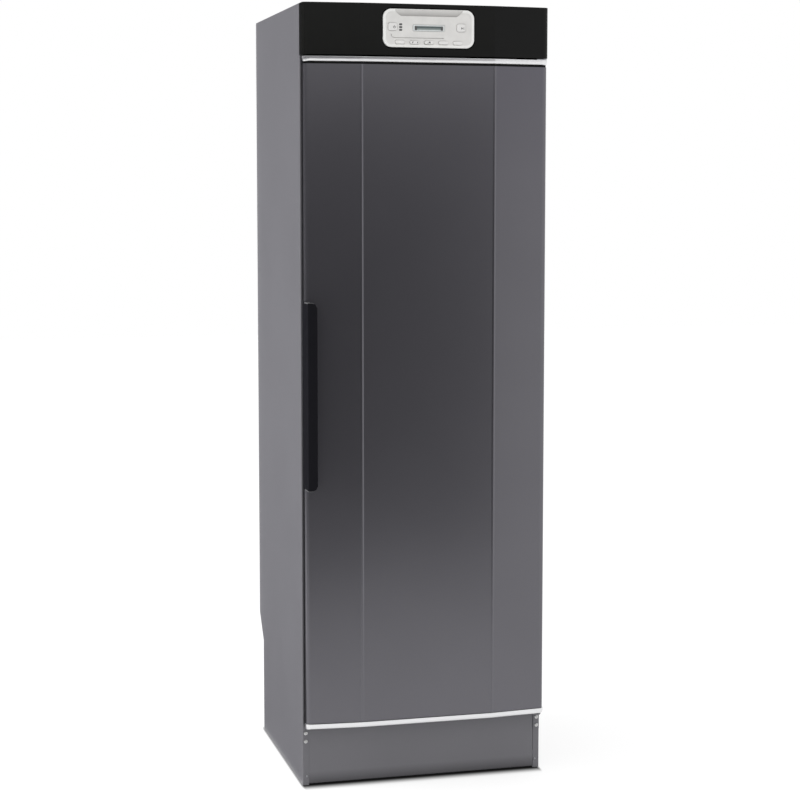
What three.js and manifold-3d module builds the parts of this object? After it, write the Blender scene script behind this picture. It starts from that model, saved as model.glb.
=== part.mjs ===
// Drying cabinet for clothes, as a three.js scene graph. Millimetres, +Z up, front faces -Y.
// While building, x = 0 is the middle, y = 0 the front plane of the side panels, z = 0 the floor.
import * as THREE from 'three';
import Module from 'manifold-3d';
import { mergeVertices } from 'three/addons/utils/BufferGeometryUtils.js';

const wasm = await Module();
wasm.setup();

// ---------------------------------------------------------------- driving dimensions (mm)

// Cabinet
const CABINET_WIDTH = 595;
const BODY_DEPTH = 552;
const CABINET_HEIGHT = 1850;
const SHEET = 1.2; // outer steel sheet
const LINER_SHEET = 1; // chamber sheet
const FIT = 0.3; // clearance between pieces that seat on each other
const FLOOR_GAP = 2; // side panels above the floor
const COLUMN_WIDTH = 16; // front flange of each side panel
const RECESS_DEPTH = 53; // services recess at the lower rear
const RECESS_HEIGHT = 241;
const RECESS_SLOPE_HEIGHT = 66;
const FOLD = 12; // folded edge of a sheet

// Door
const DOOR_REVEAL = 2.5; // door's side to the cabinet's side
const DOOR_BOTTOM = 148.3;
const DOOR_SEAL_GAP = 6; // door frame to the front plane
const DOOR_PROJECTION = 48; // middle of the door to the front plane
const FACET_DROP = 11.5; // how far the outer facets lean back at the door's sides
const FACET_WIDTH = 134; // outer facet, from the crease to the door's side
const DOOR_CORNER_RADIUS = 6;
const SKIN_SHEET = 1.2;
const SKIN_RETURN = 10; // side fold of the door skin
const BEAD_WIDTH = 7;
const BEAD_HEIGHT = 1.4;
const DOOR_FRAME_INSET = 1;
const DOOR_FRAME_RAIL = 22;
const TRIM_PROUD = 3; // trims in front of the door skin
const TRIM_SIDE_PROUD = 2;
const TOP_TRIM_HEIGHT = 10.6;
const BOTTOM_TRIM_HEIGHT = 11.4;
const TRIM_ROUNDING = 2.6;
const TOP_GROOVE = 5; // dark groove between the skin and the top trim
const GROOVE_DEPTH = 6;
const GASKET_WIDTH = 12;
const GASKET_OVERLAP = 1.5; // gasket outside the chamber opening

// Grip
const GRIP_BOTTOM = 724;
const GRIP_LENGTH = 438;
const GRIP_PROJECTION = 35; // in front of the door
const GRIP_WIDTH = 23.5;
const GRIP_WALL = 5;
const GRIP_SIDE_WALL = 2.2; // where it laps the door's side
const GRIP_CORNER = 12; // bevel at the free corners

// Door hinge
const PIVOT_INSET = 14; // pin to the door's side
const PIVOT_FORWARD = 17; // pin to the rear face of the door frame
const PIN_RADIUS = 4;
const PIN_LENGTH = 16;
const PIN_CLEARANCE = 0.5;
const BUSH_WALL = 1.7;
const BUSH_FLANGE = 1;
const BUSH_FLANGE_RADIUS = 9;
const LOWER_TONGUE = 4;
const UPPER_TONGUE = 2.3;
const HINGE_PLATE = 2;
const HINGE_PLATE_HEIGHT = 48;
const HINGE_WIDTH = 23;

// Hinge screws
const SCREW_HEAD_RADIUS = 4.5;
const SCREW_HEAD_HEIGHT = 2.6;
const SCREW_SHANK_RADIUS = 2;
const SCREW_LENGTH = 10;
const SCREW_PITCH = 20;
const SCREW_TOP_DROP = 19; // upper screw below the door's bottom
const SLOT_WIDTH = 1.2;

// Fascia and controls
const FASCIA_HEIGHT = 119;
const FASCIA_GAP = 5; // between the door and the fascia
const FASCIA_WALL = 3;
const PLATE_WIDTH = 228;
const PLATE_HEIGHT = 94;
const PLATE_RADIUS = 21;
const PLATE_THICKNESS = 7;
const PLATE_PROUD = 2; // in front of the fascia
const PLATE_GAP = 1.6; // shadow gap round the plate
const PLATE_DROP = 58; // plate centre below the cabinet's top
const PLATE_FLANGE = 5; // rear flange beyond the opening
const PLATE_FLANGE_THICKNESS = 1.6;
const WELL_MARGIN = 11; // border left round the sunk face
const WELL_DEPTH = 1.4;
const BROW_WIDTH = 160;
const BROW_HEIGHT = 7;
const BROW_RISE = 31; // brow centre above the plate's centre
const LOWER_BAND_HEIGHT = 24; // band that carries the small keys
const DISPLAY_WIDTH = 76;
const DISPLAY_HEIGHT = 14;
const DISPLAY_RISE = 3;
const DISPLAY_THICKNESS = 4;
const BUTTON_HEIGHT = 18;
const BUTTON_RISE = 5;
const POWER_BUTTON_X = -87;
const START_BUTTON_X = 78;
const BUTTON_WIDTH = 21;
const BUTTON_TRAVEL = 1.2;
const BUTTON_PROUD = 1.6;
const BUTTON_COLLAR = 1.6; // collar behind the plate
const KEY_WIDTH = 22;
const KEY_HEIGHT = 8;
const KEY_PITCH = 34.7;
const KEY_DROP = 30.3;
const KEY_COUNT = 5;
const BOARD_WIDTH = 206;
const BOARD_HEIGHT = 78;
const BOARD_THICKNESS = 1.6;
const BOARD_STANDOFF = 14; // plate's back to the board

// Plinth, base and feet
const PLINTH_BOTTOM = 8;
const TRAY_BOTTOM = 20;
const TRAY_WALL_HEIGHT = 25;
const FOOT_RADIUS = 20;
const FOOT_PAD = 7;
const FOOT_STEM_RADIUS = 5;
const FOOT_STEM_LENGTH = 34;
const FOOT_INSET_X = 45;
const FOOT_INSET_Y = 50;
const WELD_NUT_RADIUS = 9;
const WELD_NUT_HEIGHT = 8;

// Drying chamber
const SIDE_CAVITY = 35; // chamber wall to the outside of the cabinet
const REAR_DUCT_DEPTH = 72; // chamber's rear wall to the back of the cabinet
const CHAMBER_FLOOR = 190;
const CHAMBER_TOP_BELOW_DOOR = 36; // chamber's top below the door's top
const FRAME_RETURN = 15; // front frame's fold into the chamber
const AIR_SLOT_WIDTH = 7;
const AIR_SLOT_LENGTH = 34;
const AIR_SLOT_PITCH = 15;
const AIR_SLOT_COUNT = 7;

// Hanger racks
const RACK_DEPTH = 370;
const RACK_CLEARANCE = 10; // rack to each chamber wall
const RACK_ROD_RADIUS = 4;
const RACK_ROD_COUNT = 8;
const RACK_PIVOT_OFFSET = 25; // pivot in front of the chamber's rear wall
const RACK_PIVOT_CLEARANCE = 0.5;
const TOP_TIER_DROP = 90; // top tier below the chamber's ceiling
const TIER_PITCH = 460;
const BRACKET_HEIGHT = 44;
const BRACKET_THICKNESS = 2;
const BRACKET_EAR_RADIUS = 11;
const BRACKET_EAR_THICKNESS = 3;
const STOP_TAB_LENGTH = 46;
const STOP_TAB_WIDTH = 12;

// Fan and heater, in the machine bay above the chamber
const FAN_X = 95;
const FAN_Y = 290;
const FAN_HEIGHT = 58;
const FAN_START_RADIUS = 86;
const FAN_END_RADIUS = 122;
const FAN_OUTLET_LENGTH = 128;
const FAN_OUTLET_INNER = 74;
const FAN_WALL = 1.6;
const FAN_INLET_RADIUS = 54;
const OUTLET_DEGREES = 90; // where the spiral runs into the outlet
const TONGUE_DEGREES = 115; // where the spiral starts again, beyond the outlet
const IMPELLER_RADIUS = 72;
const IMPELLER_HEIGHT = 40;
const IMPELLER_EYE_RADIUS = 56;
const IMPELLER_PLATE = 2;
const BLADE_COUNT = 16;
const BLADE_THICKNESS = 1.6;
const HUB_RADIUS = 12;
const SHAFT_RADIUS = 4;
const SHAFT_LENGTH = 22; // above the hub
const SHAFT_CLEARANCE = 0.5;
const MOTOR_RADIUS = 46;
const MOTOR_HEIGHT = 56;
const MOTOR_FLANGE_RADIUS = 60;
const MOTOR_FLANGE_HEIGHT = 3;
const HEATER_TUBE_RADIUS = 3.5;
const HEATER_BEND_HEIGHT = 34;
const HEATER_PITCH = 13;
const HEATER_BENDS = 4;
const FILTER_SIZE = 150;
const FILTER_DEPTH = 9;
const FILTER_LIP = 8;
const FILTER_LIP_THICKNESS = 1.6;
const FILTER_BARS = 5;
const FILTER_BAR = 2.4;

// Exhaust spigot, sensors and inlet
const SPIGOT_RADIUS = 62;
const SPIGOT_WALL = 2.4;
const SPIGOT_RISE = 28;
const SPIGOT_DEPTH = 22; // below the top panel
const SPIGOT_FLANGE = 12;
const SPIGOT_FLANGE_THICKNESS = 2;
const SPIGOT_X = -60;
const SPIGOT_FROM_REAR = 96;
const SENSOR_WIDTH = 30;
const SENSOR_DEPTH = 20;
const SENSOR_HEIGHT = 12;
const DOOR_SENSOR_WIDTH = 40;
const INLET_RADIUS = 11;
const INLET_NUT_RADIUS = 15;
const INLET_LENGTH = 22;
const INLET_X = 180;
const INLET_Z = 120;

const ROUND = 24; // segments of a round piece
const SMALL_ROUND = 12;

// ---------------------------------------------------------------- worked-out places

const HALF_WIDTH = CABINET_WIDTH / 2;
const INNER_HALF = HALF_WIDTH - SHEET - FIT; // between the side panels
const FRAME_HALF = HALF_WIDTH - COLUMN_WIDTH - FIT; // between the front flanges
const DOOR_HALF = HALF_WIDTH - DOOR_REVEAL;
const FACET_CREASE_X = DOOR_HALF - FACET_WIDTH;
const DOOR_REAR = -DOOR_SEAL_GAP;
const DOOR_FRONT = -DOOR_PROJECTION;
const DOOR_SIDE_FRONT = DOOR_FRONT + FACET_DROP;
const SKIN_REAR = DOOR_SIDE_FRONT + SKIN_RETURN;
const FASCIA_BOTTOM = CABINET_HEIGHT - FASCIA_HEIGHT;
const DOOR_TOP = FASCIA_BOTTOM - FASCIA_GAP;
const TOP_TRIM_BOTTOM = DOOR_TOP - TOP_TRIM_HEIGHT;
const SKIN_TOP = TOP_TRIM_BOTTOM - TOP_GROOVE;
const SKIN_BOTTOM = DOOR_BOTTOM + BOTTOM_TRIM_HEIGHT + FIT;
const PIVOT_X = DOOR_HALF - PIVOT_INSET;
const PIVOT_Y = DOOR_REAR - PIVOT_FORWARD;
const CHAMBER_HALF = HALF_WIDTH - SIDE_CAVITY;
const CHAMBER_FRONT = SHEET + FRAME_RETURN + FIT;
const CHAMBER_REAR = BODY_DEPTH - REAR_DUCT_DEPTH;
const CHAMBER_TOP = DOOR_TOP - CHAMBER_TOP_BELOW_DOOR;
const CEILING_TOP = CHAMBER_TOP + FIT + LINER_SHEET;
const FRAME_BOTTOM = DOOR_BOTTOM + FIT;
const BUSH_RADIUS = PIN_RADIUS + PIN_CLEARANCE + BUSH_WALL;
const PLATE_Z = CABINET_HEIGHT - PLATE_DROP;
const PLATE_FRONT = DOOR_FRONT - PLATE_PROUD;
const WELL_FACE = PLATE_FRONT + WELL_DEPTH;
const PLATE_BACK = PLATE_FRONT + PLATE_THICKNESS;
const BOARD_FRONT = PLATE_BACK + BOARD_STANDOFF;
const FAN_BOTTOM = CEILING_TOP + FIT;
const FAN_TOP = FAN_BOTTOM + FAN_HEIGHT;
const DUCT_FRONT = FAN_Y + FAN_OUTLET_INNER;
const DUCT_REAR = FAN_Y + FAN_END_RADIUS;
const DUCT_RIGHT = FAN_X - FAN_OUTLET_LENGTH - FIT;
const DUCT_LEFT = -CHAMBER_HALF + 10;
const UPPER_TIER = CHAMBER_TOP - TOP_TIER_DROP;
const GRIP_FRONT = DOOR_FRONT - GRIP_PROJECTION;
const SCREW_X = HALF_WIDTH - COLUMN_WIDTH / 2;
const RACK_PIVOT_Y = CHAMBER_REAR - RACK_PIVOT_OFFSET;
const RACK_HALF = CHAMBER_HALF - RACK_CLEARANCE;
const EXTRA = 1; // how far a cutting tool runs past the faces it cuts

// ---------------------------------------------------------------- solids

// A closed three.js geometry as a manifold solid.
function solidOf(geometry) {
  const bare = geometry.clone();
  bare.deleteAttribute('normal');
  bare.deleteAttribute('uv');
  const merged = mergeVertices(bare, 1e-4);
  return new wasm.Manifold(new wasm.Mesh({
    numProp: 3,
    vertProperties: new Float32Array(merged.attributes.position.array),
    triVerts: new Uint32Array(merged.index.array),
  }));
}

// A manifold solid as a three.js geometry.
function geometryOf(solid) {
  const mesh = solid.getMesh();
  const geometry = new THREE.BufferGeometry();
  geometry.setAttribute('position', new THREE.BufferAttribute(new Float32Array(mesh.vertProperties), 3));
  geometry.setIndex(new THREE.BufferAttribute(new Uint32Array(mesh.triVerts), 1));
  return geometry;
}

// Box from its low to its high corner.
function box([x0, y0, z0], [x1, y1, z1]) {
  const geometry = new THREE.BoxGeometry(x1 - x0, y1 - y0, z1 - z0);
  geometry.translate((x0 + x1) / 2, (y0 + y1) / 2, (z0 + z1) / 2);
  return solidOf(geometry);
}

// Box that is symmetric about x = 0.
function wideBox(half, [y0, z0], [y1, z1]) {
  return box([-half, y0, z0], [half, y1, z1]);
}

function extrusion(shape, depth) {
  return new THREE.ExtrudeGeometry(shape, { depth, bevelEnabled: false, curveSegments: 2 });
}

// Outline in the XY plane, standing from z0 to z1.
function standing(shape, z0, z1) {
  const geometry = extrusion(shape, z1 - z0);
  geometry.translate(0, 0, z0);
  return solidOf(geometry);
}

// Outline in the XZ plane, from y0 (front) to y1 (rear).
function facing(shape, y0, y1) {
  const geometry = extrusion(shape, y1 - y0);
  geometry.rotateX(Math.PI / 2);
  geometry.translate(0, y1, 0);
  return solidOf(geometry);
}

// Outline in the YZ plane, from x0 to x1.
function crosswise(shape, x0, x1) {
  const geometry = extrusion(shape, x1 - x0);
  geometry.applyMatrix4(new THREE.Matrix4().makeBasis(
    new THREE.Vector3(0, 1, 0), new THREE.Vector3(0, 0, 1), new THREE.Vector3(1, 0, 0)));
  geometry.translate(x0, 0, 0);
  return solidOf(geometry);
}

// Round bar between two points.
function bar(from, to, radius, segments = ROUND) {
  const start = new THREE.Vector3(...from);
  const end = new THREE.Vector3(...to);
  const geometry = new THREE.CylinderGeometry(radius, radius, start.distanceTo(end), segments);
  const turn = new THREE.Quaternion().setFromUnitVectors(
    new THREE.Vector3(0, 1, 0), end.clone().sub(start).normalize());
  geometry.applyQuaternion(turn);
  const middle = start.add(end).multiplyScalar(0.5);
  geometry.translate(middle.x, middle.y, middle.z);
  return solidOf(geometry);
}

function polygon(points) {
  return new THREE.Shape(points.map(([u, v]) => new THREE.Vector2(u, v)));
}

// Rectangle with round corners, centred at (u, v).
function roundRect(width, height, radius, u = 0, v = 0) {
  const [a, b] = [width / 2, height / 2];
  const r = Math.min(radius, a, b);
  const shape = new THREE.Shape();
  shape.moveTo(u - a + r, v - b);
  shape.lineTo(u + a - r, v - b);
  shape.absarc(u + a - r, v - b + r, r, -Math.PI / 2, 0, false);
  shape.lineTo(u + a, v + b - r);
  shape.absarc(u + a - r, v + b - r, r, 0, Math.PI / 2, false);
  shape.lineTo(u - a + r, v + b);
  shape.absarc(u - a + r, v + b - r, r, Math.PI / 2, Math.PI, false);
  shape.lineTo(u - a, v - b + r);
  shape.absarc(u - a + r, v - b + r, r, Math.PI, 1.5 * Math.PI, false);
  return shape;
}

// Outline of a bent sheet: the given polyline, thickened to its left by mitred corners.
function sheetOutline(points, thickness) {
  const line = points.map(([u, v]) => new THREE.Vector2(u, v));
  const normals = line.slice(1).map((point, i) => {
    const along = point.clone().sub(line[i]).normalize();
    return new THREE.Vector2(-along.y, along.x);
  });
  const inner = line.map((point, i) => {
    const before = normals[Math.max(i - 1, 0)];
    const after = normals[Math.min(i, normals.length - 1)];
    const mitre = before.clone().add(after).normalize();
    return point.clone().addScaledVector(mitre, thickness / mitre.dot(after));
  });
  return new THREE.Shape([...line, ...inner.reverse()]);
}

function joined(...solids) {
  return solids.reduce((whole, solid) => whole.add(solid));
}

function cut(solid, ...tools) {
  return tools.reduce((rest, tool) => rest.subtract(tool), solid);
}

// ---------------------------------------------------------------- materials

const FINISHES = {
  paint: { color: 0x86868c, roughness: 0.42, metalness: 0.35 },
  steel: { color: 0xb9bbbd, roughness: 0.35, metalness: 0.9 },
  black: { color: 0x17171a, roughness: 0.4, metalness: 0 },
  trim: { color: 0xd9dadb, roughness: 0.25, metalness: 0.6 },
  plate: { color: 0xd8d8d5, roughness: 0.45, metalness: 0 },
  glass: { color: 0x39484a, roughness: 0.12, metalness: 0 },
  liner: { color: 0xe4e5e6, roughness: 0.4, metalness: 0 },
  rubber: { color: 0x2a2a2c, roughness: 0.8, metalness: 0 },
  foam: { color: 0xcfc6a8, roughness: 0.95, metalness: 0 },
  board: { color: 0x1f6b3a, roughness: 0.6, metalness: 0 },
  nylon: { color: 0xe8e6df, roughness: 0.6, metalness: 0 },
};

// Named mesh with a material of its own.
function piece(name, solid, finish) {
  const mesh = new THREE.Mesh(geometryOf(solid), new THREE.MeshStandardMaterial(FINISHES[finish]));
  mesh.name = name;
  return mesh;
}

function placed(mesh, x, y, z) {
  mesh.position.set(x, y, z);
  return mesh;
}

// ---------------------------------------------------------------- cabinet shell

// Side panel: outer sheet with the services recess cut from its lower rear, and the front flange.
function sidePanel(side) {
  const recessY = BODY_DEPTH - RECESS_DEPTH;
  const outline = polygon([
    [0, FLOOR_GAP],
    [recessY, FLOOR_GAP],
    [recessY, RECESS_HEIGHT],
    [BODY_DEPTH, RECESS_HEIGHT + RECESS_SLOPE_HEIGHT],
    [BODY_DEPTH, CABINET_HEIGHT],
    [0, CABINET_HEIGHT],
  ]);
  const outer = side * HALF_WIDTH;
  const inner = side * (HALF_WIDTH - SHEET);
  const sheet = crosswise(outline, Math.min(outer, inner), Math.max(outer, inner));
  const flangeInner = side * (HALF_WIDTH - COLUMN_WIDTH);
  const flange = box(
    [Math.min(outer, flangeInner), 0, FLOOR_GAP],
    [Math.max(outer, flangeInner), SHEET, CABINET_HEIGHT]);
  const holes = screwHeights().map((z) => bar(
    [side * SCREW_X, -EXTRA, z],
    [side * SCREW_X, SHEET + EXTRA, z],
    SCREW_SHANK_RADIUS + FIT, SMALL_ROUND));
  return cut(joined(sheet, flange), ...holes);
}

// Sheet over the top, folded down at the front and rear, with the exhaust hole.
function topPanel() {
  const front = SHEET + FIT;
  const rear = BODY_DEPTH - SHEET - FIT;
  const outline = sheetOutline([
    [rear, CABINET_HEIGHT - FOLD],
    [rear, CABINET_HEIGHT],
    [front, CABINET_HEIGHT],
    [front, CABINET_HEIGHT - FOLD],
  ], SHEET);
  const hole = bar(
    [SPIGOT_X, spigotY(), CABINET_HEIGHT - SHEET - EXTRA],
    [SPIGOT_X, spigotY(), CABINET_HEIGHT + EXTRA], SPIGOT_RADIUS + FIT);
  return cut(crosswise(outline, -INNER_HALF, INNER_HALF), hole);
}

// Rear sheet that follows the services recess, with the hole of the cable inlet.
function rearPanel() {
  const recessY = BODY_DEPTH - RECESS_DEPTH;
  const outline = sheetOutline([
    [recessY, TRAY_BOTTOM],
    [recessY, RECESS_HEIGHT],
    [BODY_DEPTH, RECESS_HEIGHT + RECESS_SLOPE_HEIGHT],
    [BODY_DEPTH, CABINET_HEIGHT],
  ], SHEET);
  const hole = bar(
    [INLET_X, recessY - SHEET - EXTRA, INLET_Z],
    [INLET_X, recessY + EXTRA, INLET_Z], INLET_RADIUS + FIT);
  return cut(crosswise(outline, -INNER_HALF, INNER_HALF), hole);
}

function footPlaces() {
  const rear = BODY_DEPTH - RECESS_DEPTH - FOOT_INSET_Y;
  const x = HALF_WIDTH - FOOT_INSET_X;
  return [
    ['front_left_foot', -x, FOOT_INSET_Y],
    ['front_right_foot', x, FOOT_INSET_Y],
    ['rear_left_foot', -x, rear],
    ['rear_right_foot', x, rear],
  ];
}

// Base tray with four folded walls and a weld nut over each foot.
function baseTray() {
  const front = SHEET + FIT;
  const rear = BODY_DEPTH - RECESS_DEPTH - SHEET - FIT;
  const top = TRAY_BOTTOM + TRAY_WALL_HEIGHT;
  const shell = cut(
    wideBox(INNER_HALF, [front, TRAY_BOTTOM], [rear, top]),
    wideBox(INNER_HALF - SHEET, [front + SHEET, TRAY_BOTTOM + SHEET], [rear - SHEET, top + EXTRA]));
  const nuts = footPlaces().map(([, x, y]) => bar(
    [x, y, TRAY_BOTTOM], [x, y, TRAY_BOTTOM + SHEET + WELD_NUT_HEIGHT], WELD_NUT_RADIUS, 6));
  const bores = footPlaces().map(([, x, y]) => bar(
    [x, y, TRAY_BOTTOM - EXTRA], [x, y, top], FOOT_STEM_RADIUS + FIT, SMALL_ROUND));
  return cut(joined(shell, ...nuts), ...bores);
}

// Levelling foot: round pad and stem.
function levellingFoot() {
  return joined(
    bar([0, 0, 0], [0, 0, FOOT_PAD], FOOT_RADIUS),
    bar([0, 0, 0], [0, 0, FOOT_PAD + FOOT_STEM_LENGTH], FOOT_STEM_RADIUS, SMALL_ROUND));
}

// Plinth between the front flanges, folded back at its top and bottom.
function plinth() {
  const outline = sheetOutline([
    [FOLD, FRAME_BOTTOM - FIT],
    [0, FRAME_BOTTOM - FIT],
    [0, PLINTH_BOTTOM],
    [FOLD, PLINTH_BOTTOM],
  ], SHEET);
  return crosswise(outline, -FRAME_HALF, FRAME_HALF);
}

// Frame round the chamber opening and behind the fascia, folded into the chamber.
function frontFrame() {
  const top = CABINET_HEIGHT - SHEET - FIT;
  const back = SHEET + FRAME_RETURN;
  const face = wideBox(FRAME_HALF, [0, FRAME_BOTTOM], [SHEET, top]);
  const fold = wideBox(CHAMBER_HALF + SHEET, [0, CHAMBER_FLOOR - SHEET], [back, CHAMBER_TOP + SHEET]);
  const opening = wideBox(CHAMBER_HALF, [-EXTRA, CHAMBER_FLOOR], [back + EXTRA, CHAMBER_TOP]);
  return cut(joined(face, fold), opening);
}

// ---------------------------------------------------------------- drying chamber

function chamberSideWall(side) {
  const inner = side * CHAMBER_HALF;
  const outer = side * (CHAMBER_HALF + LINER_SHEET);
  return box(
    [Math.min(inner, outer), CHAMBER_FRONT, CHAMBER_FLOOR],
    [Math.max(inner, outer), CHAMBER_REAR, CHAMBER_TOP]);
}

// Row of air slots along x, as cutting tools.
function slotRow(x, sizeOf) {
  return Array.from({ length: AIR_SLOT_COUNT }, (_, i) => {
    const middle = x + (i - (AIR_SLOT_COUNT - 1) / 2) * AIR_SLOT_PITCH;
    return sizeOf(middle - AIR_SLOT_WIDTH / 2, middle + AIR_SLOT_WIDTH / 2);
  });
}

// Rear wall, held by the side panels, with return air slots low down.
function chamberRearWall() {
  const y = CHAMBER_REAR + FIT;
  const z = CHAMBER_FLOOR + AIR_SLOT_LENGTH;
  const slots = [-CHAMBER_HALF / 2, CHAMBER_HALF / 2].flatMap((x) => slotRow(x, (x0, x1) => box(
    [x0, y - EXTRA, z], [x1, y + LINER_SHEET + EXTRA, z + AIR_SLOT_LENGTH])));
  return cut(
    wideBox(INNER_HALF, [y, CHAMBER_FLOOR], [y + LINER_SHEET, CHAMBER_TOP]), ...slots);
}

function chamberFloor() {
  const rear = BODY_DEPTH - RECESS_DEPTH - SHEET - FIT;
  return wideBox(
    INNER_HALF, [CHAMBER_FRONT, CHAMBER_FLOOR - FIT - LINER_SHEET], [rear, CHAMBER_FLOOR - FIT]);
}

// Ceiling that carries the fan and heater, with the filter opening and the warm air slots.
function chamberCeiling() {
  const z = CHAMBER_TOP + FIT;
  const half = FILTER_SIZE / 2 + FIT;
  const opening = box(
    [FAN_X - half, FAN_Y - half, z - EXTRA], [FAN_X + half, FAN_Y + half, CEILING_TOP + EXTRA]);
  const slotsX = DUCT_LEFT + AIR_SLOT_COUNT * AIR_SLOT_PITCH / 2 + AIR_SLOT_PITCH / 2;
  const middle = (DUCT_FRONT + DUCT_REAR) / 2;
  const slots = slotRow(slotsX, (x0, x1) => box(
    [x0, middle - AIR_SLOT_LENGTH / 2, z - EXTRA], [x1, middle + AIR_SLOT_LENGTH / 2, CEILING_TOP + EXTRA]));
  const plate = wideBox(
    INNER_HALF, [CHAMBER_FRONT, z], [BODY_DEPTH - SHEET - FIT, CEILING_TOP]);
  return cut(plate, opening, ...slots);
}

// ---------------------------------------------------------------- hanger racks

// Rack about its pivot: a cross bar at the pivot, one at the front, and rods between them.
function hangerRack() {
  const pivotHalf = CHAMBER_HALF - 2 * FIT;
  const pivotBar = bar([-pivotHalf, 0, 0], [pivotHalf, 0, 0], RACK_ROD_RADIUS, 8);
  const frontBar = bar([-RACK_HALF, -RACK_DEPTH, 0], [RACK_HALF, -RACK_DEPTH, 0], RACK_ROD_RADIUS, 8);
  const span = 2 * (RACK_HALF - RACK_ROD_RADIUS);
  const rods = Array.from({ length: RACK_ROD_COUNT }, (_, i) => {
    const x = (i / (RACK_ROD_COUNT - 1) - 0.5) * span;
    return bar([x, 0, 0], [x, -RACK_DEPTH, 0], RACK_ROD_RADIUS, 8);
  });
  return joined(pivotBar, frontBar, ...rods);
}

// Rack bracket about the pivot: rear plate, two ears with a bore, and a stop tab under each outer rod.
function rackBracket() {
  const wall = RACK_PIVOT_OFFSET;
  const earOuter = CHAMBER_HALF - FIT;
  const earInner = earOuter - BRACKET_EAR_THICKNESS;
  const plate = box(
    [-earOuter, wall - BRACKET_THICKNESS, -BRACKET_HEIGHT / 2], [earOuter, wall, BRACKET_HEIGHT / 2]);
  const tabTop = -RACK_ROD_RADIUS - FIT;
  const sides = [-1, 1].flatMap((side) => {
    const [x0, x1] = [side * earInner, side * earOuter].sort((a, b) => a - b);
    const tabInner = side * (earOuter - STOP_TAB_WIDTH);
    const [t0, t1] = [tabInner, side * earOuter].sort((a, b) => a - b);
    const back = wall - BRACKET_THICKNESS / 2;
    return [
      bar([x0, 0, 0], [x1, 0, 0], BRACKET_EAR_RADIUS, 16),
      box([x0, 0, -BRACKET_EAR_RADIUS], [x1, back, BRACKET_EAR_RADIUS]),
      box([t0, -STOP_TAB_LENGTH, tabTop - BRACKET_THICKNESS], [t1, back, tabTop]),
    ];
  });
  const bore = bar(
    [-HALF_WIDTH, 0, 0], [HALF_WIDTH, 0, 0], RACK_ROD_RADIUS + RACK_PIVOT_CLEARANCE, 16);
  return cut(joined(plate, ...sides), bore);
}

// ---------------------------------------------------------------- fan and heater

// Volute outline seen from above: a spiral that opens into a straight outlet to the left.
function voluteOutline(inset, outletEnd) {
  const points = [[outletEnd, FAN_END_RADIUS - inset]];
  const steps = 30;
  const sweep = OUTLET_DEGREES + 360 - TONGUE_DEGREES;
  for (let i = 0; i <= steps; i += 1) {
    const degrees = OUTLET_DEGREES - (sweep * i) / steps;
    const share = i / steps;
    const radius = FAN_END_RADIUS + (FAN_START_RADIUS - FAN_END_RADIUS) * share - inset;
    const angle = THREE.MathUtils.degToRad(degrees);
    points.push([radius * Math.cos(angle), radius * Math.sin(angle)]);
  }
  points.push([outletEnd, FAN_OUTLET_INNER + inset]);
  return polygon(points);
}

// Fan housing about the impeller's axis, open at the inlet, the outlet and the motor.
function fanHousing() {
  const outer = standing(voluteOutline(0, -FAN_OUTLET_LENGTH), 0, FAN_HEIGHT);
  const inner = standing(
    voluteOutline(FAN_WALL, -FAN_OUTLET_LENGTH - EXTRA), FAN_WALL, FAN_HEIGHT - FAN_WALL);
  const inlet = bar([0, 0, -EXTRA], [0, 0, FAN_WALL + EXTRA], FAN_INLET_RADIUS);
  const shaftHole = bar(
    [0, 0, FAN_HEIGHT - FAN_WALL - EXTRA], [0, 0, FAN_HEIGHT + EXTRA], HUB_RADIUS + 2, ROUND);
  return cut(outer, inner, inlet, shaftHole);
}

// Impeller about its axis: back plate, blades, front ring, hub and shaft.
function fanImpeller() {
  const bottom = (FAN_HEIGHT - IMPELLER_HEIGHT) / 2;
  const top = bottom + IMPELLER_HEIGHT;
  const backPlate = bar([0, 0, top - IMPELLER_PLATE], [0, 0, top], IMPELLER_RADIUS, 32);
  const ring = cut(
    bar([0, 0, bottom], [0, 0, bottom + IMPELLER_PLATE], IMPELLER_RADIUS, 32),
    bar([0, 0, bottom - EXTRA], [0, 0, bottom + IMPELLER_PLATE + EXTRA], IMPELLER_EYE_RADIUS, 32));
  const blades = Array.from({ length: BLADE_COUNT }, (_, i) => {
    const geometry = new THREE.BoxGeometry(
      IMPELLER_RADIUS - IMPELLER_EYE_RADIUS - 2, BLADE_THICKNESS, IMPELLER_HEIGHT - IMPELLER_PLATE);
    geometry.rotateZ(Math.PI / 5);
    geometry.translate((IMPELLER_RADIUS + IMPELLER_EYE_RADIUS) / 2, 0, (bottom + top) / 2);
    geometry.rotateZ((i * 2 * Math.PI) / BLADE_COUNT);
    return solidOf(geometry);
  });
  const hub = bar([0, 0, top - IMPELLER_HEIGHT / 3], [0, 0, top], HUB_RADIUS, 16);
  const shaft = bar([0, 0, top], [0, 0, top + SHAFT_LENGTH], SHAFT_RADIUS, 16);
  return joined(backPlate, ring, ...blades, hub, shaft);
}

// Motor about its axis, on the housing's top, with a bore for the shaft and cooling ribs.
function fanMotor() {
  const bottom = FAN_HEIGHT + FIT;
  const flange = bar([0, 0, bottom], [0, 0, bottom + MOTOR_FLANGE_HEIGHT], MOTOR_FLANGE_RADIUS, 32);
  const can = bar([0, 0, bottom], [0, 0, bottom + MOTOR_HEIGHT], MOTOR_RADIUS, 32);
  const cap = bar(
    [0, 0, bottom + MOTOR_HEIGHT - EXTRA], [0, 0, bottom + MOTOR_HEIGHT + 6], MOTOR_RADIUS / 2, ROUND);
  const bore = bar(
    [0, 0, bottom - EXTRA], [0, 0, bottom + MOTOR_HEIGHT / 2], SHAFT_RADIUS + SHAFT_CLEARANCE, 16);
  return cut(joined(flange, can, cap), bore);
}

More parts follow.
